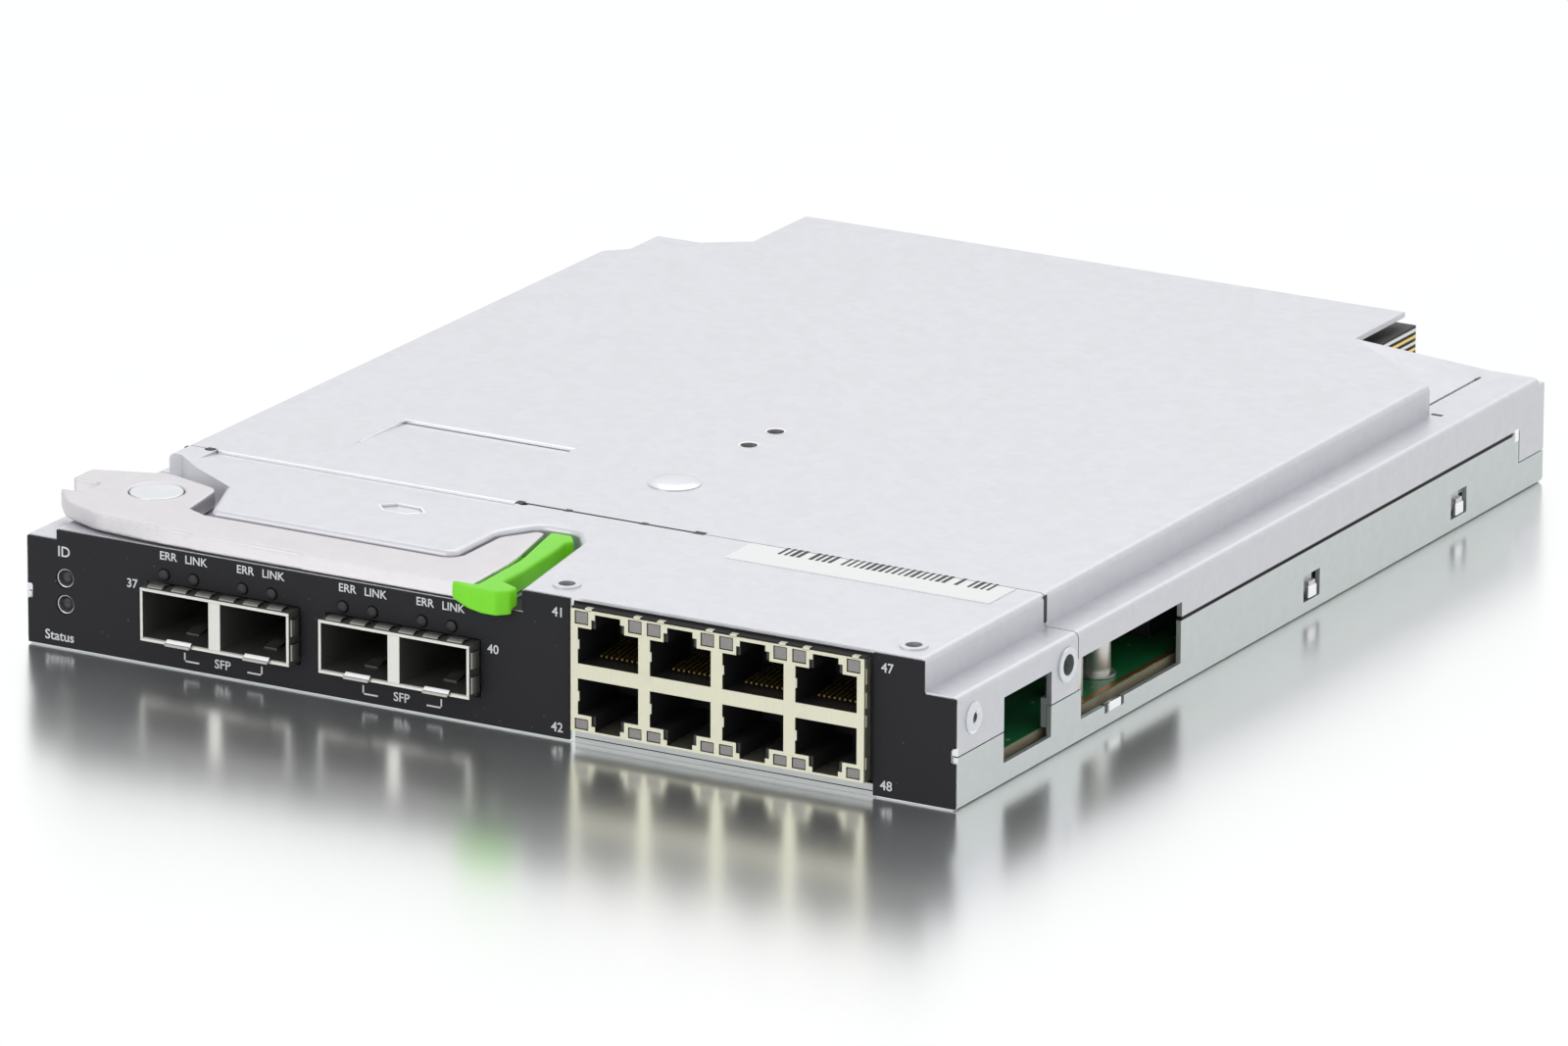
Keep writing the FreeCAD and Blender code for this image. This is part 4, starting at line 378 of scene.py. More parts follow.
FLAT_STREAK = (1.0, 30.0, 30.0)
RECIPES = {
    # Each seam tuple is a line of painted shade: axis, place, half width, other axis, start and end, in mm
    "zinc_plate": (zinc_sheet, "zinc_tone", (
        ("Y", 42.35, 0.25, "X", 75.6, 113.0),
    )),
    "zinc_cover": (zinc_sheet, "zinc_tone", (
        ("Y", 42.7, 0.25, "X", 75.6, 113.0),
        ("Z", 12.5, 0.25, "Y", 80.0, 208.5),
    )),
    # Painted shade: a darker copy of the zinc for the lip under the jack
    "zinc_dull": (zinc_sheet, (0.4, 0.415, 0.415)),
    # Painted shade: the tray zinc is darkened for the shade on the side walls
    "zinc_side": (zinc_sheet, "zinc_side_tone", (("Z", 12.15, 0.25, "Y", 80.0, 208.5),)),
    # Painted highlight: a near-white metal for the light caught on bends, rims, tabs and catches
    "bare_edge": (plated, (0.95, 0.95, 0.96), 0.3),
    "lever_nickel": (plated, "lever_tone", 0.42, (4.0, 1.0, 1.0)),
    "bright_rivet": (plated, (0.72, 0.74, 0.77), 0.3),
    "spring_wire": (plated, (0.5, 0.5, 0.5), 0.3, FLAT_STREAK),
    "latch_green": (moulded, "latch_tone", 0.45, 0.3, 0.008),
    "film_black": (printed_film, "film_tone"),
    "print_white": (ink, (0.78, 0.79, 0.8), 0.25),
    "lamp_smoke": (lens, (0.008, 0.008, 0.009), 0.42, 0.0),
    "lamp_clear": (lens, (0.014, 0.0135, 0.013), 0.35, 0.1),
    "lamp_rim": (plated, (0.62, 0.62, 0.63), 0.3),
    "lens_grey": (lens, (0.21, 0.195, 0.185), 0.3),
    "plastic_black": (moulded, (0.012, 0.012, 0.013), 0.5),
    # Painted shade: black foam for the gap round the jack
    "foam_black": (moulded, (0.01, 0.01, 0.01), 0.85, 0.5, 0.06),
    # Painted shade: the cage nickel is darkened for the shade inside the bays
    "cage_nickel": (plated, "cage_tone", 0.34, (30.0, 1.0, 30.0)),
    # Painted highlight: a brighter copy of the cage nickel for the cage rims
    "cage_bright": (plated, (0.5, 0.5, 0.47), 0.34),
    "jack_nickel": (plated, "jack_tone", 0.36, (1.0, 1.0, 20.0)),
    "gold_flash": (plated, (0.86, 0.62, 0.2), 0.25, (1.0, 20.0, 1.0)),
    "wire_gold": (plated, (0.42, 0.3, 0.09), 0.3, (1.0, 20.0, 1.0)),
    "board_mask": (solder_mask, "board_tone"),
    "board_edge": (laminate_edge,),
    "board_copper": (plated, (0.55, 0.2, 0.07), 0.4, (1.0, 20.0, 1.0)),
    "post_zinc": (plated, (0.72, 0.72, 0.68), 0.34, (30.0, 30.0, 1.0)),
    "label_paper": (paper, (0.97, 0.975, 0.965)),
    "label_ink": (ink, (0.03, 0.03, 0.035), 0.2),
    "chip_mould": (moulded, (0.025, 0.025, 0.027), 0.55, 0.15),
    "sink_metal": (plated, (0.6, 0.61, 0.62), 0.38, (1.0, 40.0, 1.0)),
    "ferrite": (moulded, (0.09, 0.09, 0.095), 0.7, 0.4, 0.03),
    "can_metal": (plated, (0.74, 0.74, 0.74), 0.28, (1.0, 1.0, 30.0)),
    "ceramic_tan": (moulded, (0.42, 0.3, 0.18), 0.45),
    "solder_tin": (plated, (0.75, 0.75, 0.74), 0.3),
}
palette = Palette()


# Meshes
MERGE_DISTANCE = 2e-6
FLAT_ANGLE = math.radians(0.5)
SHARP_ANGLE = math.radians(32.0)
EASE_SHARE = 25.0
EASE_ROUNDS = 3
SMOOTH_SHARE = 0.5
BLOCK_FACES = ((0, 2, 3, 1), (4, 5, 7, 6), (0, 1, 5, 4), (2, 6, 7, 3), (0, 4, 6, 2), (1, 3, 7, 5))


def linked(name, data):
    """Return a new object that is in the scene."""
    made = bpy.data.objects.new(name, data)
    bpy.context.scene.collection.objects.link(made)
    return made


def dress(mesh, finish):
    """Give a mesh one finish and no other."""
    mesh.materials.clear()
    mesh.materials.append(palette(finish))


def new_piece(name, mesh, finish, replaces=(), body="chassis", ends=None):
    """Link a finished mesh as one piece that rides on a body, or that is baked in place when ends are given.
    """
    piece = linked(name, mesh)
    if finish:
        dress(mesh, finish)
    if ends:
        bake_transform(piece)
    else:
        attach(piece, body)
    if replaces:
        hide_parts(*replaces)


def paint(finish, *names):
    """Give CAD nodes a better finish in place."""
    for name in names:
        dress(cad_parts[name].data, finish)


def settled(host, *tools):
    """Return an object's mesh with its modifiers applied, and remove the object and its tools."""
    bpy.context.view_layer.update()
    graph = bpy.context.evaluated_depsgraph_get()
    result = bpy.data.meshes.new_from_object(host.evaluated_get(graph), depsgraph=graph)
    if not len(result.polygons):
        raise RuntimeError("no faces came out of " + host.name)
    for item in (host, *tools):
        bpy.data.objects.remove(item)
    return result


def poured(work, name):
    """Return a new mesh from a bmesh, which is then freed."""
    mesh = bpy.data.meshes.new(name)
    work.to_mesh(mesh)
    work.free()
    return mesh


def softened(mesh, width, segments=2):
    """Round the sharp edges of a closed mesh and keep its flats flat."""
    host = linked("softened", mesh)
    mesh.polygons.foreach_set("use_smooth", [True] * len(mesh.polygons))
    bevel = host.modifiers.new("Edges", "BEVEL")
    bevel.width = width * MM
    bevel.segments = segments
    bevel.limit_method = "ANGLE"
    bevel.angle_limit = SHARP_ANGLE
    bevel.use_clamp_overlap = True
    bevel.harden_normals = False
    weigh = host.modifiers.new("Flats", "WEIGHTED_NORMAL")
    weigh.weight = 50
    weigh.keep_sharp = True
    return settled(host)


def node_copy(node):
    """Return a merged copy of a CAD node's mesh with its flat faces joined."""
    work = bmesh.new()
    work.from_mesh(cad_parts[node].data)
    bmesh.ops.remove_doubles(work, verts=work.verts, dist=MERGE_DISTANCE)
    bmesh.ops.dissolve_limit(
        work, angle_limit=FLAT_ANGLE, use_dissolve_boundaries=False, verts=work.verts, edges=work.edges
    )
    return poured(work, node + "_copy")


def eased(mesh, chosen):
    """Turn the chosen kinks of an outline into a smooth curve by cutting their corners again and again."""
    work = bmesh.new()
    work.from_mesh(mesh)
    for _ in range(EASE_ROUNDS):
        edges = [edge for edge in work.edges if edge.is_manifold and chosen(edge)]
        bmesh.ops.bevel(
            work, geom=edges, offset=EASE_SHARE, offset_type="PERCENT", segments=1, affect="EDGES"
        )
    return poured(work, mesh.name)


def rounded(mesh, voxel, rounds):
    """Return a finely meshed copy of a closed mesh with all its edges rounded off."""
    host = linked("rounded", mesh)
    skin = host.modifiers.new("Skin", "REMESH")
    skin.mode = "VOXEL"
    skin.voxel_size = voxel * MM
    skin.use_smooth_shade = True
    smooth = host.modifiers.new("Round", "SMOOTH")
    smooth.factor = SMOOTH_SHARE
    smooth.iterations = rounds
    return settled(host)


def pierced(mesh, cutter):
    """Return a mesh with the blocks of another one cut out."""
    host = linked("pierced", mesh)
    tool = linked("cutter", cutter)
    cut = host.modifiers.new("Cut", "BOOLEAN")
    cut.operation = "DIFFERENCE"
    cut.solver = "EXACT"
    cut.use_self = True
    cut.object = tool
    return settled(host, tool)


def refine(name, node, finish, width, segments=2, cutter=None):
    """Replace a CAD node by a copy with rounded edges, first pierced by a cutter where one is given."""
    mesh = node_copy(node)
    if cutter:
        mesh = pierced(mesh, cutter)
    new_piece(name, softened(mesh, width, segments), finish, (node,))


def blocks(name, spans, place=at):
    """Return closed blocks between corners in millimetres, in the frame or, with step, about the origin."""
    work = bmesh.new()
    for span in spans:
        low, high = (place(*corner) for corner in span)
        corners = [
            work.verts.new((x, y, z))
            for z in (low.z, high.z) for y in (low.y, high.y) for x in (low.x, high.x)
        ]
        for loop in BLOCK_FACES:
            work.faces.new([corners[i] for i in loop])
    return poured(work, name)


def plates(name, outlines, front, rear):
    """Return blocks from upright (left, right, low, high) outlines, all between the same two depths."""
    return blocks(name, [((left, front, low), (right, rear, high)) for left, right, low, high in outlines])


AXES = {
    "x": Matrix.Rotation(math.radians(90.0), 4, "Y"),
    "-x": Matrix.Rotation(math.radians(-90.0), 4, "Y"),
    "-y": Matrix.Rotation(math.radians(90.0), 4, "X"),
    "z": Matrix.Identity(4),
}


def turned(work, profile, centre, axis="z", sides=48):
    """Add a solid of revolution from (radius, height) points in millimetres; the ends close on the axis."""
    place = Matrix.Translation(centre) @ AXES[axis]
    rings = []
    for radius, height in profile:
        if radius == 0.0:
            rings.append([work.verts.new(place @ step(z=height))])
            continue
        ring = []
        for i in range(sides):
            angle = math.tau * i / sides
            point = step(radius * math.cos(angle), radius * math.sin(angle), height)
            ring.append(work.verts.new(place @ point))
        rings.append(ring)
    for low, high in zip(rings, rings[1:]):
        for i in range(sides):
            j = (i + 1) % sides
            loop = [low[i % len(low)], low[j % len(low)], high[j % len(high)], high[i % len(high)]]
            loop = list(dict.fromkeys(loop))
            if len(loop) > 2:
                work.faces.new(loop)
    if len(rings[0]) > 1 and len(rings[-1]) > 1:
        for i in range(sides):
            j = (i + 1) % sides
            work.faces.new([rings[-1][i], rings[-1][j], rings[0][j], rings[0][i]])


def turned_mesh(name, turnings):
    """Return a smooth mesh of turned solids, each given by its profile, centre, axis and count of sides."""
    work = bmesh.new()
    for turning in turnings:
        turned(work, *turning)
    bmesh.ops.recalc_face_normals(work, faces=work.faces)
    mesh = poured(work, name)
    mesh.polygons.foreach_set("use_smooth", [True] * len(mesh.polygons))
    mesh.set_sharp_from_angle(angle=SHARP_ANGLE)
    return mesh


def swept(name, line, width, thickness):
    """Return a strip of even thickness that follows a side line of (y, z) points, centred on x."""
    work = bmesh.new()
    half = width / 2
    sides = [(x, s) for s in (1, -1) for x in (-half, half)]
    rows = []
    for i, (y, z) in enumerate(line):
        before = Vector(line[max(i - 1, 0)])
        after = Vector(line[min(i + 1, len(line) - 1)])
        along = (after - before).normalized()
        off = Vector((-along.y, along.x)) * thickness / 2
        rows.append([work.verts.new(step(x, y + off.x * s, z + off.y * s)) for x, s in sides])
    for first, second in zip(rows, rows[1:]):
        for a, b in ((0, 1), (1, 3), (3, 2), (2, 0)):
            work.faces.new([first[a], first[b], second[b], second[a]])
    work.faces.new([rows[0][i] for i in (0, 2, 3, 1)])
    work.faces.new([rows[-1][i] for i in (0, 1, 3, 2)])
    bmesh.ops.recalc_face_normals(work, faces=work.faces)
    return poured(work, name)


def merged(name, meshes):
    """Return one mesh that holds several."""
    work = bmesh.new()
    for mesh in meshes:
        work.from_mesh(mesh)
    return poured(work, name)


# Geometry node rows
class Lattice:
    """Repeats one shape in columns and rows, with seeded scale and seeded gaps, from one shared node tree."""

    INPUTS = (
        ("Start", "NodeSocketVector"),
        ("Columns", "NodeSocketInt"),
        ("Column Step", "NodeSocketVector"),
        ("Rows", "NodeSocketInt"),
        ("Row Step", "NodeSocketVector"),
        ("Shape", "NodeSocketObject"),
        ("Least Scale", "NodeSocketVector"),
        ("Most Scale", "NodeSocketVector"),
        ("Kept", "NodeSocketFloat"),
        ("Seed", "NodeSocketInt"),
        ("Finish", "NodeSocketMaterial"),
    )

    def __init__(self):
        self.tree = None
        self.names = {}

    def plant(self):
        """Build the shared node tree."""
        self.tree = bpy.data.node_groups.new("lattice_rows", "GeometryNodeTree")
        self.tree.interface.new_socket("Geometry", in_out="OUTPUT", socket_type="NodeSocketGeometry")
        for label, kind in self.INPUTS:
            socket = self.tree.interface.new_socket(label, in_out="INPUT", socket_type=kind)
            self.names[label] = socket.identifier
        works = Works(self.tree, "")
        entry = self.tree.nodes.new("NodeGroupInput")
        given = {label: Link(works, entry.outputs[label]) for label, _ in self.INPUTS}
        row = works.node("GeometryNodeMeshLine", None, {
            "Count": given["Rows"], "Offset": given["Row Step"],
        })
        column = works.node("GeometryNodeMeshLine", None, {
            "Count": given["Columns"], "Start Location": given["Start"], "Offset": given["Column Step"],
        })
        grid = works.node("GeometryNodeInstanceOnPoints", None, {"Points": column, "Instance": row})
        points = works.node("GeometryNodeMeshToPoints", None, {
            "Mesh": works.node("GeometryNodeRealizeInstances", None, {"Geometry": grid}),
        })
        drawn = works.node("FunctionNodeRandomValue", {"data_type": "FLOAT"}, {
            2: 0.0, 3: 1.0, "Seed": given["Seed"],
        }, 1)
        gap = works.node("FunctionNodeCompare", {"data_type": "FLOAT", "operation": "GREATER_THAN"}, {
            0: drawn, 1: given["Kept"],
        })
        left = works.node("GeometryNodeDeleteGeometry", {"domain": "POINT"}, {
            "Geometry": points, "Selection": gap,
        })
        scale = works.node("FunctionNodeRandomValue", {"data_type": "FLOAT_VECTOR"}, {
            0: given["Least Scale"], 1: given["Most Scale"], "Seed": given["Seed"],
        })
        shape = works.node("GeometryNodeObjectInfo", None, {"Object": given["Shape"]}, "Geometry")
        placed = works.node("GeometryNodeInstanceOnPoints", None, {
            "Points": left, "Instance": shape, "Scale": scale,
        })
        solid = works.node("GeometryNodeRealizeInstances", None, {"Geometry": placed})
        done = works.node("GeometryNodeSetMaterial", None, {"Geometry": solid, "Material": given["Finish"]})
        exit_node = self.tree.nodes.new("NodeGroupOutput")
        self.tree.links.new(done.socket, exit_node.inputs[0])

    def __call__(self, name, shape, finish, start, columns, column_step, rows=1, row_step=Vector(), **extra):
        """Return a plain mesh of one shape mesh, repeated."""
        if not self.tree:
            self.plant()
        source = linked("row_shape", shape)
        host = linked(name + "_rows", bpy.data.meshes.new(name))
        modifier = host.modifiers.new("Rows", "NODES")
        modifier.node_group = self.tree
        values = {
            "Start": start, "Columns": columns, "Column Step": column_step, "Rows": rows,
            "Row Step": row_step, "Shape": source, "Least Scale": (1.0, 1.0, 1.0),
            "Most Scale": (1.0, 1.0, 1.0), "Kept": 2.0, "Seed": 1, "Finish": palette(finish),
        }
        values.update(extra)
        for label, value in values.items():
            modifier[self.names[label]] = value[:] if isinstance(value, Vector) else value
        return settled(host, source)


lattice = Lattice()


# Lettering
def words_mesh(name, words):
    """Return flat lettering on the front face as one closed mesh."""
    stand = Matrix.Rotation(math.radians(90.0), 4, "X")
    meshes = []
    for text, x, z, height in words:
        curve = bpy.data.curves.new("words", "FONT")
        curve.body = text
        curve.size = height * MM
        curve.align_x = "CENTER"
        curve.align_y = "CENTER"
        curve.extrude = PRINT_LIFT * MM / 2
        curve.offset = PRINT_BOLD * MM
        curve.resolution_u = 3
        mesh = settled(linked("words", curve))
        mesh.transform(Matrix.Translation(at(x, FRONT_FACE - PRINT_LIFT / 2, z)) @ stand)
        meshes.append(mesh)
    return merged(name, meshes)


# Settings
def tone(label, description, default):
    return FloatVectorProperty(
        name=label, description=description, default=default, subtype="COLOR", size=3, min=0.0, max=1.0
    )


class SwitchLook(PropertyGroup):
    zinc_tone: tone("Cover zinc", "Zinc coat on the cover and front plate", (0.655, 0.657, 0.692))
    # Painted shade: the tray zinc is darker than the cover zinc to stand for the shade on the side walls
    zinc_side_tone: tone("Tray zinc", "Zinc coat on the tray and its sides", (0.6, 0.635, 0.63))
    lever_tone: tone("Lever", "Nickel plate of the ejector lever", (0.65, 0.632, 0.652))
    latch_tone: tone("Latch", "Moulded release latch", (0.21, 0.79, 0.012))
    film_tone: tone("Front film", "Printed film on the front", (0.013, 0.013, 0.016))
    # Painted shade: the cage nickel is darkened to stand for the shade inside the bays
    cage_tone: tone("Cages", "Nickel plate of the module cages", (0.33, 0.325, 0.305))
    jack_tone: tone("Jack", "Warm nickel plate of the jack shield", (0.485, 0.475, 0.375))
    board_tone: tone("Board", "Solder mask of the main board", (0.012, 0.17, 0.05))


class SwitchSizes(PropertyGroup):
    sheet_edge: FloatProperty(
        name="Sheet edge", description="Edge rounding of the folded sheet, in mm",
        default=0.14, min=0.02, max=0.4,
    )
    lever_rounds: IntProperty(
        name="Lever rounding", description="How often the edges of the lever are smoothed",
        default=14, min=1,
    )
    latch_rounds: IntProperty(
        name="Latch rounding", description="How often the edges of the latch are smoothed",
        default=48, min=1,
    )
    bar_seed: IntProperty(name="Bar seed", description="Seed of the bars on the label", default=7, min=0)
    parts_seed: IntProperty(name="Parts seed", description="Seed of the small parts", default=11, min=0)


class SwitchStage(PropertyGroup):
    lens: FloatProperty(
        name="Lens", description="Focal length of the camera",
        default=309.85, unit="CAMERA", min=10.0, max=1000.0,
    )
    roll: FloatProperty(
        name="Roll", description="Camera roll", default=math.radians(0.239), subtype="ANGLE"
    )
    top_light: FloatProperty(
        name="Top light", description="Power of the overhead softbox", default=9.0, unit="POWER", min=0.0
    )
    front_light: FloatProperty(
        name="Front light", description="Power of the front softbox", default=5.0, unit="POWER", min=0.0
    )
    room_light: FloatProperty(
        name="Room light", description="Strength of the even surrounding light", default=0.7, min=0.0
    )


# Operators
class SwitchOperator:
    """What every step of the dressing shares."""

    bl_options = {"REGISTER"}

    def execute(self, context):
        self.build(context.scene)
        return {"FINISHED"}


class SWITCH_OT_sheets(SwitchOperator, Operator):
    """Round the edges of the sheet metal, lay black blocks of painted shade in its cuts, white strips of
    painted highlight along its edges and holes, darker zinc of painted shade on the sill, black sheets of
    painted shade in the latch mouth, and tabs in the white painted-highlight finish
    """

    bl_idname = "switch.sheets"
    bl_label = "Sheet metal"

    # Painted shade: thin black blocks in the relief notches, the seam notches and the seam below the jack
    # stand in for the shadow in these openings
    CUTS = [
        ((10.9, 41.7, 26.1), (12.5, 43.1, 26.23)),
        ((74.8, 41.8, 26.1), (76.3, 43.4, 26.23)),
        ((84.6, 42.0, 26.1), (85.9, 43.3, 26.23)),
        ((100.0, 42.0, 26.1), (101.3, 43.2, 26.23)),
        ((110.7, 42.0, 26.1), (112.9, 43.5, 26.23)),
        ((111.8, -0.03, 0.92), (171.2, 0.0, 1.12)),
    ]
    # Painted shade: darker zinc on the lip below the jack for the shade on it and the dark floor it reflects
    SILL = [((111.8, -0.02, 1.12), (171.2, 0.0, 2.3)), ((111.8, -0.02, 0.04), (171.2, 0.0, 0.92))]
    SIDE_CUTS = [
        ((180.4, 41.9, 21.0), (180.53, 43.0, 25.9)),
        ((180.2, 188.5, 20.2), (182.4, 189.4, 20.33)),
        ((176.9, 189.2, 20.2), (178.0, 190.6, 20.33)),
        ((176.0, 212.6, 20.2), (177.5, 213.1, 20.33)),
    ]
    # Painted highlight: white strips on the recess's rear rim and left wall and on the cover's front edge
    # stand in for the light caught there
    EDGES = [
        ((31.9, 75.3, 25.6), (67.4, 75.6, 26.22)),
        ((31.9, 60.0, 25.6), (32.1, 75.3, 26.19)),
        ((13.2, 42.3, 25.6), (74.8, 42.6, 26.22)),
    ]
    HOLES = ((92.9, 92.9), (92.9, 102.5))
    # The hole sleeves wear the white painted-highlight finish
    SLEEVE = [(1.58, -0.95), (1.68, -0.95), (1.68, 0.0), (1.9, 0.03), (1.75, 0.05), (1.58, 0.0)]
    TABS = [
        ((186.3, 53.8, 2.9), (187.25, 58.0, 4.5)),
        ((186.3, 128.1, 3.0), (187.25, 131.1, 5.2)),
        ((186.3, 185.6, 3.0), (187.25, 188.6, 5.2)),
        ((186.7, 209.3, 10.6), (187.15, 210.8, 12.9)),
    ]
    TAB_ROUND = 0.4
    # The dimple rim is a white ring of painted highlight round the dimple
    DIMPLE_RIM = [(4.45, -0.3), (4.85, -0.3), (4.85, 0.0), (4.65, 0.03), (4.45, 0.0)]
    DIMPLE_SPOT = (59.5, 29.0)
    DIMPLE_SHARE = 0.59
    # Painted shade: black sheets on the floor and front of the latch mouth stand in for the shadow there
    LINERS = [((96.5, 0.02, 22.0), (101.2, 7.5, 22.03)), ((101.2, -0.05, 22.0), (101.7, 0.0, 25.6))]
    SHEETS = (
        ("tray_sheet", "base_tray", "zinc_side"),
        ("front_sheet", "front_frame", "zinc_plate"),
        ("cover_sheet", "main_cover", "zinc_cover"),
    )
    EDGE_ROUND = 0.08
    TAB_SEGMENTS = 4
    DIMPLE_SIDES = 6

    def build(self, scene):
        for name, node, finish in self.SHEETS:
            refine(name, node, finish, scene.switch_sizes.sheet_edge)
        paint("zinc_side", "front_wall")
        # black blocks of painted shade in the cuts
        cuts = blocks("cuts", self.CUTS + mirrored(self.SIDE_CUTS))
        new_piece("relief_cuts", cuts, "plastic_black")
        # white strips, sleeves and dimple rim of painted highlight
        edges = softened(blocks("edges", self.EDGES), self.EDGE_ROUND)
        sleeves = turned_mesh("sleeves", [(self.SLEEVE, at(x, y, TOP), "z") for x, y in self.HOLES])
        rim = turned_mesh("rim", [(self.DIMPLE_RIM, Vector(), "z", self.DIMPLE_SIDES)])
        flattened = Matrix.Diagonal((1.0, self.DIMPLE_SHARE, 1.0, 1.0))
        rim.transform(Matrix.Translation(at(*self.DIMPLE_SPOT, TOP)) @ flattened)
        new_piece("bare_edges", merged("edges", [edges, sleeves, rim]), "bare_edge")
        # darker zinc of painted shade on the sill
        new_piece("jack_sill", blocks("sill", self.SILL), "zinc_dull")
        # black sheets of painted shade in the latch mouth
        new_piece("latch_liners", blocks("liners", self.LINERS), "film_black")
        # the lanced tabs take the white painted-highlight finish
        tabs = softened(blocks("tabs", mirrored(self.TABS)), self.TAB_ROUND, self.TAB_SEGMENTS)
        new_piece("lanced_tabs", tabs, "bare_edge")


class SWITCH_OT_overlays(SwitchOperator, Operator):
    """Finish the black films and print their white lettering and bracket marks"""

    bl_idname = "switch.overlays"
    bl_label = "Front films and print"

    WORDS = [
        ("ID", 8.0, 17.9, 2.7),
        ("Status", 6.9, 2.3, 2.5),
        ("37", 22.1, 14.4, 2.3),
        ("40", 95.6, 14.2, 2.3),
        ("41", 108.6, 23.0, 2.4),
        ("42", 108.4, 2.2, 2.4),
        ("47", 173.4, 23.4, 2.4),
        ("48", 173.3, 2.4, 2.4),
        ("SFP", 40.6, 2.4, 2.3),
        ("SFP", 77.1, 2.4, 2.3),
    ]
    LAMP_WORDS = ((29.6, 35.3), (45.4, 51.1), (66.2, 71.9), (81.9, 87.6))
    LAMP_WORD_Z = 20.5
    LAMP_WORD_SIZE = 2.1
    STROKE = 0.3
    BRACKETS = ((7.0, 9.8), (22.8, 20.0))
    BRACKET_LOW = 1.8
    BRACKET_HIGH = 3.5

    def build(self, scene):
        paint("film_black", "front_overlay_left", "front_overlay_right")
        words = list(self.WORDS)
        for error_x, link_x in self.LAMP_WORDS:
            words.append(("ERR", error_x, self.LAMP_WORD_Z, self.LAMP_WORD_SIZE))
            words.append(("LINK", link_x, self.LAMP_WORD_Z, self.LAMP_WORD_SIZE))
        low = self.BRACKET_LOW
        strokes = []
        for start in CAGE_STARTS:
            for post, foot in self.BRACKETS:
                strokes.append((start + post, start + post + self.STROKE, low, self.BRACKET_HIGH))
                left, right = sorted((start + post, start + foot))
                strokes.append((left, right + self.STROKE, low, low + self.STROKE))
        marks = plates("marks", strokes, FRONT_FACE - PRINT_LIFT, FRONT_FACE)
        mesh = merged("front_print", [words_mesh("words", words), marks])
        new_piece("front_print", mesh, "print_white")


class SWITCH_OT_lever(SwitchOperator, Operator):
    """Round the ejector lever and finish its pivot, washer and springs"""

    bl_idname = "switch.lever"
    bl_label = "Ejector lever"

    KINK = (math.radians(0.6), math.radians(50.0))
    VOXEL = 0.25
    SPRING_EDGE = 0.06
    RIVET_EDGE = 0.25
    RIVET_SEGMENTS = 3

    def outline_kink(self, edge):
        """Tell whether an edge is a slight upright kink of the outline."""
        first, second = (vert.co for vert in edge.verts)
        upright = (first - second).xy.length < MERGE_DISTANCE
        low, high = self.KINK
        return upright and low < edge.calc_face_angle() < high

    def build(self, scene):
        outline = eased(node_copy("ejector_lever"), self.outline_kink)
        mesh = rounded(outline, self.VOXEL, scene.switch_sizes.lever_rounds)
        new_piece("lever_plate", mesh, "lever_nickel", ("ejector_lever",), "lever")
        refine(
            "pivot_rivet", "lever_pivot", "bright_rivet", self.RIVET_EDGE, self.RIVET_SEGMENTS
        )
        paint("bright_rivet", "lever_washer")
        low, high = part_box("latch_spring")
        ends = (low, Vector((high.x, low.y, low.z)))
        mesh = softened(node_copy("latch_spring"), self.SPRING_EDGE)
        bodies = ("lever", "latch")
        new_piece("latch_springs", mesh, "spring_wire", ("latch_spring",), bodies, ends)


class SWITCH_OT_latch(SwitchOperator, Operator):
    """Round the moulded release latch and slope the underside of its head"""

    bl_idname = "switch.latch"
    bl_label = "Release latch"

    VOXEL = 0.18
    RELIEF = ((-8.0, -5.0, -4.0), (8.0, -0.5, 0.0))
    RELIEF_SPOT = (92.0, 0.0, 21.95)
    RELIEF_LEAN = math.radians(10.8)

    def build(self, scene):
        relief = blocks("relief", [self.RELIEF], step)
        lean = Matrix.Rotation(self.RELIEF_LEAN, 4, "Y")
        relief.transform(Matrix.Translation(at(*self.RELIEF_SPOT)) @ lean)
        cut = pierced(node_copy("release_latch"), relief)
        mesh = rounded(cut, self.VOXEL, scene.switch_sizes.latch_rounds)
        new_piece("latch_moulding", mesh, "latch_green", ("release_latch",), "latch")


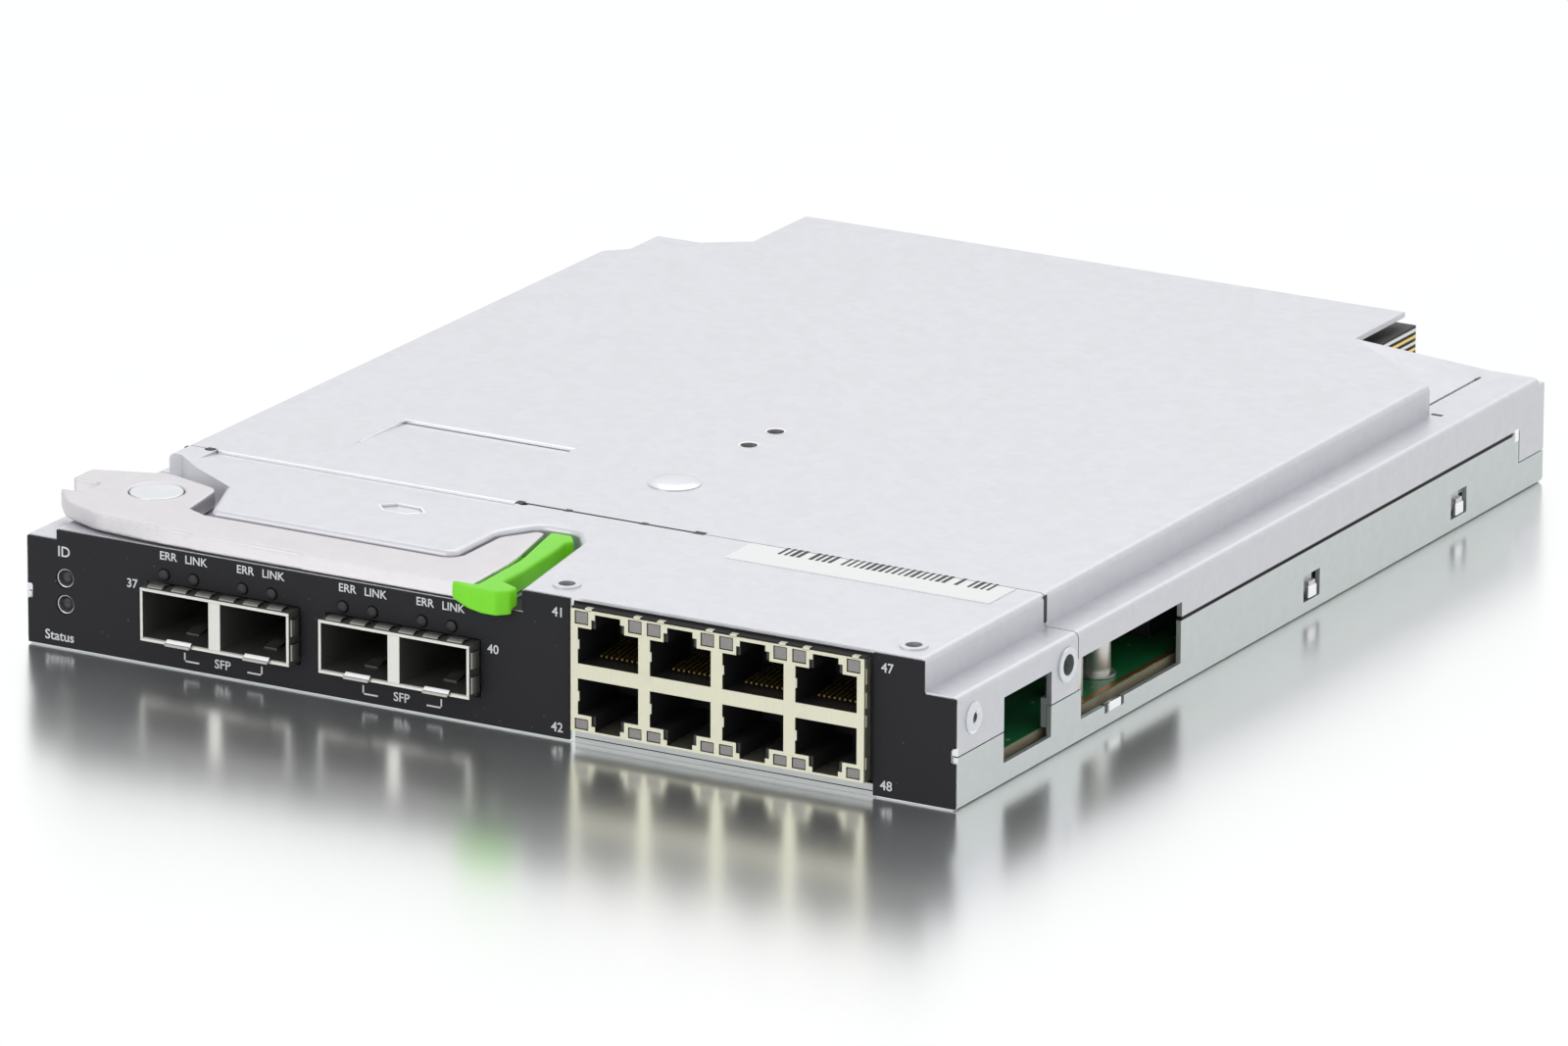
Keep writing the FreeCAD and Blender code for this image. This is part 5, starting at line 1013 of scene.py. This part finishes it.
class SWITCH_OT_lamps(SwitchOperator, Operator):
    """Dome the light pipes and the two panel lamps, and add the lamps' rims"""

    bl_idname = "switch.lamps"
    bl_label = "Lamps"

    DOME = [(0.0, -11.1), (1.05, -11.1), (1.05, 0.45), (0.95, 0.72), (0.65, 0.86), (0.0, 0.9)]
    PANEL = [
        (0.0, -1.0), (1.5, -1.0), (1.5, -0.7), (1.15, -0.62), (1.0, -0.35), (0.6, -0.16), (0.0, -0.1),
    ]
    RIM = [(1.5, -1.0), (1.75, -1.0), (1.75, 0.06), (1.66, 0.12), (1.52, 0.04)]
    LAMPS = (("id_lens", "id_lamp", 13.1), ("status_lens", "status_lamp", 8.3))
    LAMP_X = 8.1
    PIPE_X = 3.1
    PIPE_Z = 17.1
    PIPE_PITCH = 6.0

    def build(self, scene):
        shape = turned_mesh("dome", [(self.DOME, Vector(), "-y")])
        start = at(CAGE_STARTS[0] + self.PIPE_X, 0.0, self.PIPE_Z)
        pitch = step(x=self.PIPE_PITCH)
        pairs = lattice("light_pipes", shape, "lamp_smoke", start, 2, pitch, 2, step(x=BAY_PITCH))
        apart = step(x=CAGE_STARTS[1] - CAGE_STARTS[0])
        pipes = lattice("light_pipes", pairs, "lamp_smoke", Vector(), 2, apart)
        new_piece("light_pipes", pipes, None, ("port_light_pipes",))
        rims = []
        for name, node, height in self.LAMPS:
            spot = at(self.LAMP_X, 0.0, height)
            mesh = turned_mesh(name, [(self.PANEL, spot, "-y")])
            new_piece(name, mesh, "lamp_clear", (node,))
            rims.append((self.RIM, spot, "-y"))
        new_piece("lamp_rims", turned_mesh("rims", rims), "lamp_rim")
        paint("plastic_black", "lamp_holder", "lamp_carriers")


class SWITCH_OT_cages(SwitchOperator, Operator):
    """Finish the module cages, their spring fingers, latch tongues and host connectors"""

    bl_idname = "switch.cages"
    bl_label = "Module cages"

    FINGER = [(-3.1, 15.22), (-2.9, 15.4), (-2.3, 15.62), (-1.6, 15.68), (-0.9, 15.56), (-0.55, 15.35)]
    KICKER = [(2.0, 6.3), (4.4, 6.9), (5.6, 6.95), (8.0, 6.3)]
    CATCH = [(-4.33, 5.65), (-4.2, 5.77), (-3.65, 6.35), (-3.45, 6.5)]
    RIM = 0.55
    RIM_DEPTH = 0.15
    LOW = 5.5
    HIGH = 15.2
    LENGTH = 30.5
    DIVIDER = (14.05, 16.45)
    FINGER_STRIP = (3.0, 0.16)
    KICKER_STRIP = (2.6, 0.15)
    CATCH_STRIP = (5.0, 0.14)
    TOP_FINGERS = (2.7, 6, 4.9)
    SIDE_FINGERS = (7.9, 2, 4.5)
    KICKER_X = 7.3
    CATCH_X = 8.0
    SHEET_EDGE = 0.1
    RIM_EDGE = 0.05

    def rim(self, start):
        """Return strips of painted highlight round both bays of a cage, in a brighter copy of the cage nickel
        on its cut edge.
        """
        low = self.LOW + self.RIM
        high = self.HIGH - self.RIM
        rails = [
            (0.0, self.LENGTH, self.LOW, low),
            (0.0, self.LENGTH, high, self.HIGH),
            (0.0, self.RIM, low, high),
            (*self.DIVIDER, low, high),
            (self.LENGTH - self.RIM, self.LENGTH, low, high),
        ]
        moved = [(start + left, start + right, foot, head) for left, right, foot, head in rails]
        return plates("rim", moved, CAGE_FRONT - self.RIM_DEPTH, CAGE_FRONT)

    def fingers(self, start):
        """Return the spring fingers along the top and up the right side of a cage."""
        upper = swept("finger", self.FINGER, *self.FINGER_STRIP)
        side = swept("finger", [(y, z - self.HIGH) for y, z in self.FINGER], *self.FINGER_STRIP)
        side.transform(Matrix.Rotation(math.radians(90.0), 4, "Y"))
        first, count, pitch = self.TOP_FINGERS
        top = lattice("fingers", upper, "cage_nickel", at(start + first, 0.0, 0.0), count, step(x=pitch))
        first, count, pitch = self.SIDE_FINGERS
        place = at(start + self.LENGTH, 0.0, first)
        flank = lattice("fingers", side, "cage_nickel", place, count, step(z=pitch))
        return merged("fingers", [top, flank])

    def build(self, scene):
        kicker = swept("kicker", self.KICKER, *self.KICKER_STRIP)
        catch = swept("catch", self.CATCH, *self.CATCH_STRIP)
        for word, start in zip(("left", "right"), CAGE_STARTS):
            refine("cage_" + word, "sfp_cage_" + word, "cage_nickel", self.SHEET_EDGE)
            strip = self.fingers(start)
            new_piece("fingers_" + word, strip, "cage_nickel", ("cage_fingers_" + word,))
            # the catches take the white painted-highlight finish
            for name, shape, finish, first in (
                ("kickers_", kicker, "cage_nickel", self.KICKER_X),
                ("catches_", catch, "bare_edge", self.CATCH_X),
            ):
                pair = lattice(name, shape, finish, at(start + first, 0.0, 0.0), 2, step(x=BAY_PITCH))
                new_piece(name + word, pair, None)
            # rims of painted highlight
            rim = softened(self.rim(start), self.RIM_EDGE)
            new_piece("rim_" + word, rim, "cage_bright")
            paint("plastic_black", "sfp_connector_%s_1" % word, "sfp_connector_%s_2" % word)


class SWITCH_OT_jack(SwitchOperator, Operator):
    """Finish the stacked jack with its lamps, contact wires and grounding tabs"""

    bl_idname = "switch.jack"
    bl_label = "Network jack"

    WINDOWS_X = ((-0.62, 2.08), (10.0, 12.65))
    WINDOWS_Z = ((3.35, 5.25), (22.3, 24.67))
    STEPS_X = ((2.7, 3.45), (8.35, 9.2))
    STEPS_Z = ((4.2, 6.05), (21.65, 23.35))
    CUT_DEPTH = (-0.3, 0.6)
    LENS_GAP = 0.12
    LENS_DEPTH = (0.08, 0.34)
    STEM = (0.25, 0.35, 2.6)
    PORT_TABS = ((8.4, 10.2), (17.8, 19.5))
    TAB_WIDTH = 0.3
    TAB_DEPTH = 0.35
    CREST_X = (2.1, 11.7)
    CREST_HALF = 0.65
    CREST = (0.0, 1.0, 24.9, 25.34)
    GASKET = 0.6
    GASKET_FRONT = -0.06
    GASKET_REAR = 0.9
    BARE_TOP = 0.35
    LOW = 2.9
    HIGH = 25.0
    STRIP = (24.9, 25.2)
    FACE_EDGE = 0.05
    CAN_EDGE = 0.08
    LENS_ROUND = (0.3, 4)
    SIDE_SPRINGS = ((5.2, 7.4), (12.8, 14.9), (16.2, 19.0), (20.4, 23.2))
    SPRING = (-1.9, -0.7, 0.25)

    def column(self, name, spans, depth):
        """Return one column's blocks from (x, z) spans and a (front, rear) depth behind the face."""
        front, rear = depth
        corners = [((left, front, low), (right, rear, high)) for (left, right), (low, high) in spans]
        return blocks(name, corners, step)

    def lenses(self):
        """Return one column's lens plates with their light guides behind them."""
        gap = self.LENS_GAP
        side, edge, rear = self.STEM
        plates = []
        guides = []
        for left, right in self.WINDOWS_X:
            for low, high in self.WINDOWS_Z:
                plates.append(((left + gap, right - gap), (low + gap, high - gap)))
                guides.append(((left + side, right - side), (low + edge, high - edge)))
        front = self.column("lens", plates, self.LENS_DEPTH)
        back = self.column("guide", guides, (self.LENS_DEPTH[1], rear))
        return merged("lenses", [softened(front, *self.LENS_ROUND), back])

    def build(self, scene):
        place = at(JACK_FIRST, JACK_FRONT, 0.0)
        pitch = step(x=JACK_PITCH)
        cuts = [(x, z) for x in self.WINDOWS_X for z in self.WINDOWS_Z]
        cuts += [(x, z) for x in self.STEPS_X for z in self.STEPS_Z]
        cut = self.column("cut", cuts, self.CUT_DEPTH)
        cutter = lattice("cutter", cut, "jack_nickel", place, PORTS, pitch)
        refine("jack_front", "jack_face", "jack_nickel", self.FACE_EDGE, cutter=cutter)
        refine("jack_can", "jack_shield", "jack_nickel", self.CAN_EDGE)
        paint("plastic_black", "jack_housing")
        paint("wire_gold", "jack_wires_upper", "jack_wires_lower")
        lenses = lattice("lenses", self.lenses(), "lens_grey", place, PORTS, pitch)
        new_piece("jack_lenses", lenses, None, ("jack_lamps",))
        self.tabs(place, pitch)
        # black foam of painted shade round the jack
        self.gasket()

    def tabs(self, place, pitch):
        """Add the tabs inside the ports, on the crest and along the right side."""
        inner = [((0.0, self.TAB_WIDTH), z) for z in self.PORT_TABS]
        half = self.CREST_HALF
        front, rear, low, high = self.CREST
        crest = [((x - half, x + half), (low, high)) for x in self.CREST_X]
        shape = merged("tab", [
            self.column("inner", inner, (0.0, self.TAB_DEPTH)),
            self.column("crest", crest, (front, rear)),
        ])
        ports = lattice("tabs", shape, "jack_nickel", place, PORTS, pitch)
        front, rear, rise = self.SPRING
        springs = [(JACK_RIGHT, JACK_RIGHT + rise, low, high) for low, high in self.SIDE_SPRINGS]
        flank = softened(plates("flank", springs, front, rear), self.CAN_EDGE)
        new_piece("jack_tabs", merged("tabs", [ports, flank]), "jack_nickel")

    def gasket(self):
        """Lay black foam of painted shade in the gap round the jack and behind its top edge, where only
        shadow falls.
        """
        edge = self.GASKET
        ring = [
            (JACK_LEFT - edge, JACK_RIGHT + edge, self.HIGH, self.HIGH + edge),
            (JACK_LEFT - edge, JACK_LEFT, self.LOW, self.HIGH),
            (JACK_RIGHT, JACK_RIGHT + edge, self.LOW, self.HIGH),
        ]
        foam = merged("foam", [
            plates("ring", ring, self.GASKET_FRONT, self.GASKET_REAR),
            plates("strip", [(JACK_LEFT, JACK_RIGHT, *self.STRIP)], JACK_FRONT + self.BARE_TOP, 0.0),
        ])
        new_piece("jack_gasket", foam, "foam_black")


class SWITCH_OT_board(SwitchOperator, Operator):
    """Finish the main board with its edge, copper strips, chips and small parts"""

    bl_idname = "switch.board"
    bl_label = "Main board"

    LAMINATE = [((184.4, 3.2, 3.15), (184.46, 213.0, 5.02))]
    COPPER = [((183.2, 45.0, 5.1), (184.2, 86.0, 5.13))]
    SPACER_SPOTS = ((178.5, 65.0), (8.5, 65.0))
    SPACER = [(1.4, 0.6), (2.4, 0.6), (2.5, 0.8), (2.5, 13.7), (2.3, 14.0), (1.4, 14.0)]
    WASHER = [(1.4, 0.0), (3.3, 0.0), (3.4, 0.1), (3.4, 0.5), (3.2, 0.6), (1.4, 0.6)]
    BANKS = [((157.0, 80.0, 5.1), (168.0, 118.0, 15.5)), ((171.0, 88.0, 5.1), (176.5, 112.0, 12.0))]
    FIELDS = ((159.0, 69.0), (17.0, 69.0))
    BANK_EDGE = 0.3
    CHIP = [((-0.5, -0.45, 0.0), (0.5, 0.45, 0.5))]
    CHIP_ENDS = [((-0.85, -0.47, 0.0), (-0.5, 0.47, 0.52)), ((0.5, -0.47, 0.0), (0.85, 0.47, 0.52))]
    CHIP_COLUMNS = (4, 2.6)
    CHIP_ROWS = (9, 1.9)
    CHIPS_KEPT = 0.4

    def build(self, scene):
        paint("board_mask", "main_board")
        paint("post_zinc", "board_posts", "cover_posts")
        paint("bright_rivet", "board_screws")
        paint("chip_mould", "switch_chip", "port_chips", "control_chip", "memory_chips")
        paint("sink_metal", "heat_sink")
        paint("ferrite", "power_coils")
        paint("can_metal", "power_capacitors")
        self.rims()
        self.spacers()
        self.small_parts(scene.switch_sizes.parts_seed)

    def rims(self):
        """Lay the routed laminate on the board's side edges and the bare copper strips along them."""
        edges = blocks("edges", mirrored(self.LAMINATE))
        new_piece("board_edges", edges, "board_edge")
        strips = blocks("strips", mirrored(self.COPPER))
        new_piece("copper_strips", strips, "board_copper")

    def spacers(self):
        """Stand turned spacers with washers, and dark modules, behind the side windows."""
        turnings = []
        for x, y in self.SPACER_SPOTS:
            turnings.append((self.SPACER, at(x, y, BOARD_TOP), "z"))
            turnings.append((self.WASHER, at(x, y, BOARD_TOP), "z"))
        new_piece("window_spacers", turned_mesh("spacers", turnings), "post_zinc")
        banks = softened(blocks("banks", mirrored(self.BANKS)), self.BANK_EDGE)
        new_piece("window_modules", banks, "chip_mould")

    def small_parts(self, seed):
        """Scatter chip resistors and their tinned ends where the windows show the board."""
        columns, column_pitch = self.CHIP_COLUMNS
        lines, line_pitch = self.CHIP_ROWS
        grid = (columns, step(x=column_pitch), lines, step(y=line_pitch))
        random = {"Kept": self.CHIPS_KEPT, "Seed": seed}
        for name, spans, finish, slot in (
            ("chip_bodies", self.CHIP, "ceramic_tan", "chip_black"),
            ("chip_caps", self.CHIP_ENDS, "solder_tin", "can_silver"),
        ):
            shape = blocks(name, spans, step)
            fields = [
                lattice(name, shape, finish, at(x, y, BOARD_TOP), *grid, **random) for x, y in self.FIELDS
            ]
            new_piece(name, merged(name, fields), finish)


class SWITCH_OT_fasteners(SwitchOperator, Operator):
    """Turn the side rivets, clinch nuts and the cover stud"""

    bl_idname = "switch.fasteners"
    bl_label = "Rivets and nuts"

    RIVET = [
        (0.9, -2.6), (1.6, -2.6), (1.6, 0.0), (2.8, 0.0), (2.8, 0.2), (2.5, 0.5), (1.9, 0.68), (1.35, 0.68),
        (0.9, 0.2),
    ]
    RIVET_SPOT = (5.3, 15.4)
    STUD = [
        (0.0, -4.0), (2.0, -4.0), (2.0, 0.0), (4.8, 0.0), (4.8, 0.2), (4.4, 0.42), (2.9, 0.6), (0.0, 0.7),
    ]
    STUD_SPOT = (93.2, 66.1)
    NUT_EDGE = 0.15

    def build(self, scene):
        rivets = turned_mesh("rivets", [
            (self.RIVET, at(WIDTH, *self.RIVET_SPOT), "x"),
            (self.RIVET, at(0.0, *self.RIVET_SPOT), "-x"),
        ])
        new_piece("rivets_side", rivets, "bright_rivet", ("side_rivets",))
        stud = turned_mesh("stud", [(self.STUD, at(*self.STUD_SPOT, TOP), "z")])
        new_piece("stud_dome", stud, "bright_rivet", ("cover_stud",))
        refine("clinch_nuts", "side_nuts", "bright_rivet", self.NUT_EDGE)


class SWITCH_OT_label(SwitchOperator, Operator):
    """Lay the paper label on the front plate and print its bars"""

    bl_idname = "switch.label"
    bl_label = "Paper label"

    BAR = [((-0.28, -2.0, 0.0), (0.28, 2.0, 0.02))]
    FIRST_BAR = (129.9, 40.6, 26.35)
    BARS = 34
    BAR_PITCH = 1.25
    SPREAD = {"Least Scale": (0.6, 1.0, 1.0), "Most Scale": (1.5, 1.0, 1.0), "Kept": 0.94}

    def build(self, scene):
        paint("label_paper", "plate_sticker")
        bar = blocks("bar", self.BAR, step)
        bars = lattice(
            "bars", bar, "label_ink", at(*self.FIRST_BAR), self.BARS, step(x=self.BAR_PITCH),
            Seed=scene.switch_sizes.bar_seed, **self.SPREAD,
        )
        new_piece("label_bars", bars, None)


class SWITCH_OT_rear(SwitchOperator, Operator):
    """Finish the connectors at the rear edge"""

    bl_idname = "switch.rear"
    bl_label = "Rear connectors"

    BLOCKS = (34.0, 64.0, 94.0)
    PIN = [((-0.3, 0.0, -0.3), (0.3, 5.0, 0.3))]
    FIRST_PIN = (3.0, 222.0, 9.2)
    PIN_COLUMNS = (8, 3.0)
    PIN_ROWS = (5, 2.6)
    SLAT = [((0.0, 0.0, -0.3), (0.3, 22.5, 0.3))]
    SLAT_SPOT = (157.0, 205.0)
    SLATS = (("power_slats_gold", "gold_flash", 7.4), ("power_slats_tin", "solder_tin", 8.6))
    SLAT_ROWS = (7, 2.4)
    EDGE = 0.08

    def build(self, scene):
        paint("plastic_black", "power_connector")
        paint("gold_flash", "power_blades")
        pin = softened(blocks("pin", self.PIN, step), self.EDGE)
        x, y, z = self.FIRST_PIN
        columns, column_pitch = self.PIN_COLUMNS
        lines, line_pitch = self.PIN_ROWS
        grid = (columns, step(x=column_pitch), lines, step(z=line_pitch))
        for number, left in enumerate(self.BLOCKS, start=1):
            paint("plastic_black", "midplane_connector_%d" % number)
            pins = lattice("pins", pin, "gold_flash", at(left + x, y, z), *grid)
            new_piece("rear_pins_%d" % number, pins, None)
        slat = softened(blocks("slat", self.SLAT, step), self.EDGE)
        lines, line_pitch = self.SLAT_ROWS
        for name, finish, height in self.SLATS:
            place = at(*self.SLAT_SPOT, height)
            slats = lattice(name, slat, finish, place, 1, Vector(), lines, step(z=line_pitch))
            new_piece(name, slats, None)


class SWITCH_OT_stage(SwitchOperator, Operator):
    """Set up the floor, the soft lights and the camera"""

    bl_idname = "switch.stage"
    bl_label = "Studio"

    CAMERA_PLACE = Vector((1.13931, -2.01205, 0.72381))
    CAMERA_AIM = Vector((-0.4717, 0.8306, -0.2961))
    FLOOR_HALF = 8.0
    TOP_BOX = (Vector((-0.2, 0.9, 1.6)), Vector((0.0, 0.0, 0.0)), 1.8)
    FRONT_BOX = (Vector((-0.7, -1.7, 0.8)), Vector((0.0, -0.1, 0.0)), 1.0)
    ROOM_TONE = (0.97, 0.985, 1.0, 1.0)
    SENSOR = 36.0
    NEAR = 0.05
    FAR = 50.0

    def build(self, scene):
        stage = scene.switch_stage
        self.floor()
        self.room(stage.room_light)
        self.softbox("softbox_top", *self.TOP_BOX, stage.top_light)
        self.softbox("softbox_front", *self.FRONT_BOX, stage.front_light)
        self.camera(stage)
        bpy.context.scene.view_settings.view_transform = "Standard"

    def floor(self):
        """Lay a pale floor that mirrors the module softly."""
        half = self.FLOOR_HALF
        corners = [(-half, -half, 0), (half, -half, 0), (half, half, 0), (-half, half, 0)]
        mesh = bpy.data.meshes.new("floor")
        mesh.from_pydata(corners, [], [(0, 1, 2, 3)])
        floor = linked("floor", mesh)
        f = Finish("studio_floor")
        cloud = f.noise(60.0, 2.0)
        mesh.materials.append(f.surface({
            "Base Color": f.blend((0.975, 0.99, 0.983), (0.985, 0.995, 0.99), cloud),
            "Roughness": 0.2 + 0.03 * cloud,
        }, {"IOR": 1.8, "Metallic": 0.9}))

    def room(self, strength):
        """Surround the module with even light, and show plain white to the camera and in reflections."""
        world = bpy.data.worlds.new("studio_room")
        bpy.context.scene.world = world
        world.use_nodes = True
        world.node_tree.nodes.clear()
        works = Works(world.node_tree, "ShaderNode")
        seen = works.node("LightPath", output="Is Camera Ray")
        mirrored_ray = works.node("LightPath", output="Is Glossy Ray")
        sight = works.node("Math", {"operation": "MAXIMUM"}, {0: seen, 1: mirrored_ray})
        even = works.node("Background", None, {"Color": self.ROOM_TONE, "Strength": strength})
        white = works.node("Background", None, {"Color": (1.0, 1.0, 1.0, 1.0), "Strength": 1.0})
        mixed = works.node("MixShader", None, {0: sight, 1: even, 2: white})
        works.node("OutputWorld", None, {"Surface": mixed})

    def softbox(self, name, place, aim, size, power):
        """Hang a square soft light that faces a point."""
        lamp = bpy.data.lights.new(name, "AREA")
        lamp.energy = power
        lamp.size = size
        box = linked(name, lamp)
        box.location = place
        box.rotation_euler = (aim - place).to_track_quat("-Z", "Y").to_euler()

    def camera(self, stage):
        """Set the camera at the photograph's viewing angle."""
        data = bpy.data.cameras.new("photo_camera")
        data.lens = stage.lens
        data.sensor_width = self.SENSOR
        data.sensor_fit = "HORIZONTAL"
        data.clip_start = self.NEAR
        data.clip_end = self.FAR
        camera = linked("photo_camera", data)
        aim = self.CAMERA_AIM.normalized()
        side = aim.cross(Vector((0.0, 0.0, 1.0))).normalized()
        up = side.cross(aim)
        right = math.cos(stage.roll) * side + math.sin(stage.roll) * up
        over = -math.sin(stage.roll) * side + math.cos(stage.roll) * up
        turn = Matrix((right, over, -aim)).transposed()
        camera.matrix_world = Matrix.Translation(self.CAMERA_PLACE) @ turn.to_4x4()
        bpy.context.scene.camera = camera


STEPS = (
    SWITCH_OT_sheets,
    SWITCH_OT_overlays,
    SWITCH_OT_lever,
    SWITCH_OT_latch,
    SWITCH_OT_lamps,
    SWITCH_OT_cages,
    SWITCH_OT_jack,
    SWITCH_OT_board,
    SWITCH_OT_fasteners,
    SWITCH_OT_label,
    SWITCH_OT_rear,
    SWITCH_OT_stage,
)
GROUPS = (("switch_look", SwitchLook), ("switch_sizes", SwitchSizes), ("switch_stage", SwitchStage))


class SWITCH_PT_steps(Panel):
    """Lists the settings and the steps that dress the module"""

    bl_idname = "SWITCH_PT_steps"
    bl_label = "Blade switch module"
    bl_space_type = "VIEW_3D"
    bl_region_type = "UI"
    bl_category = "Switch"

    def draw(self, context):
        for name, group in GROUPS:
            box = self.layout.box()
            for key in group.__annotations__:
                box.prop(getattr(context.scene, name), key)
        for operator in STEPS:
            self.layout.operator(operator.bl_idname)


def register():
    for name, group in GROUPS:
        bpy.utils.register_class(group)
        setattr(bpy.types.Scene, name, PointerProperty(type=group))
    for operator in STEPS:
        bpy.utils.register_class(operator)
    bpy.utils.register_class(SWITCH_PT_steps)


def unregister():
    bpy.utils.unregister_class(SWITCH_PT_steps)
    for operator in reversed(STEPS):
        bpy.utils.unregister_class(operator)
    for name, group in reversed(GROUPS):
        delattr(bpy.types.Scene, name)
        bpy.utils.unregister_class(group)


def main():
    register()
    for operator in STEPS:
        area, name = operator.bl_idname.split(".")
        getattr(getattr(bpy.ops, area), name)()


if __name__ == "__main__":
    main()
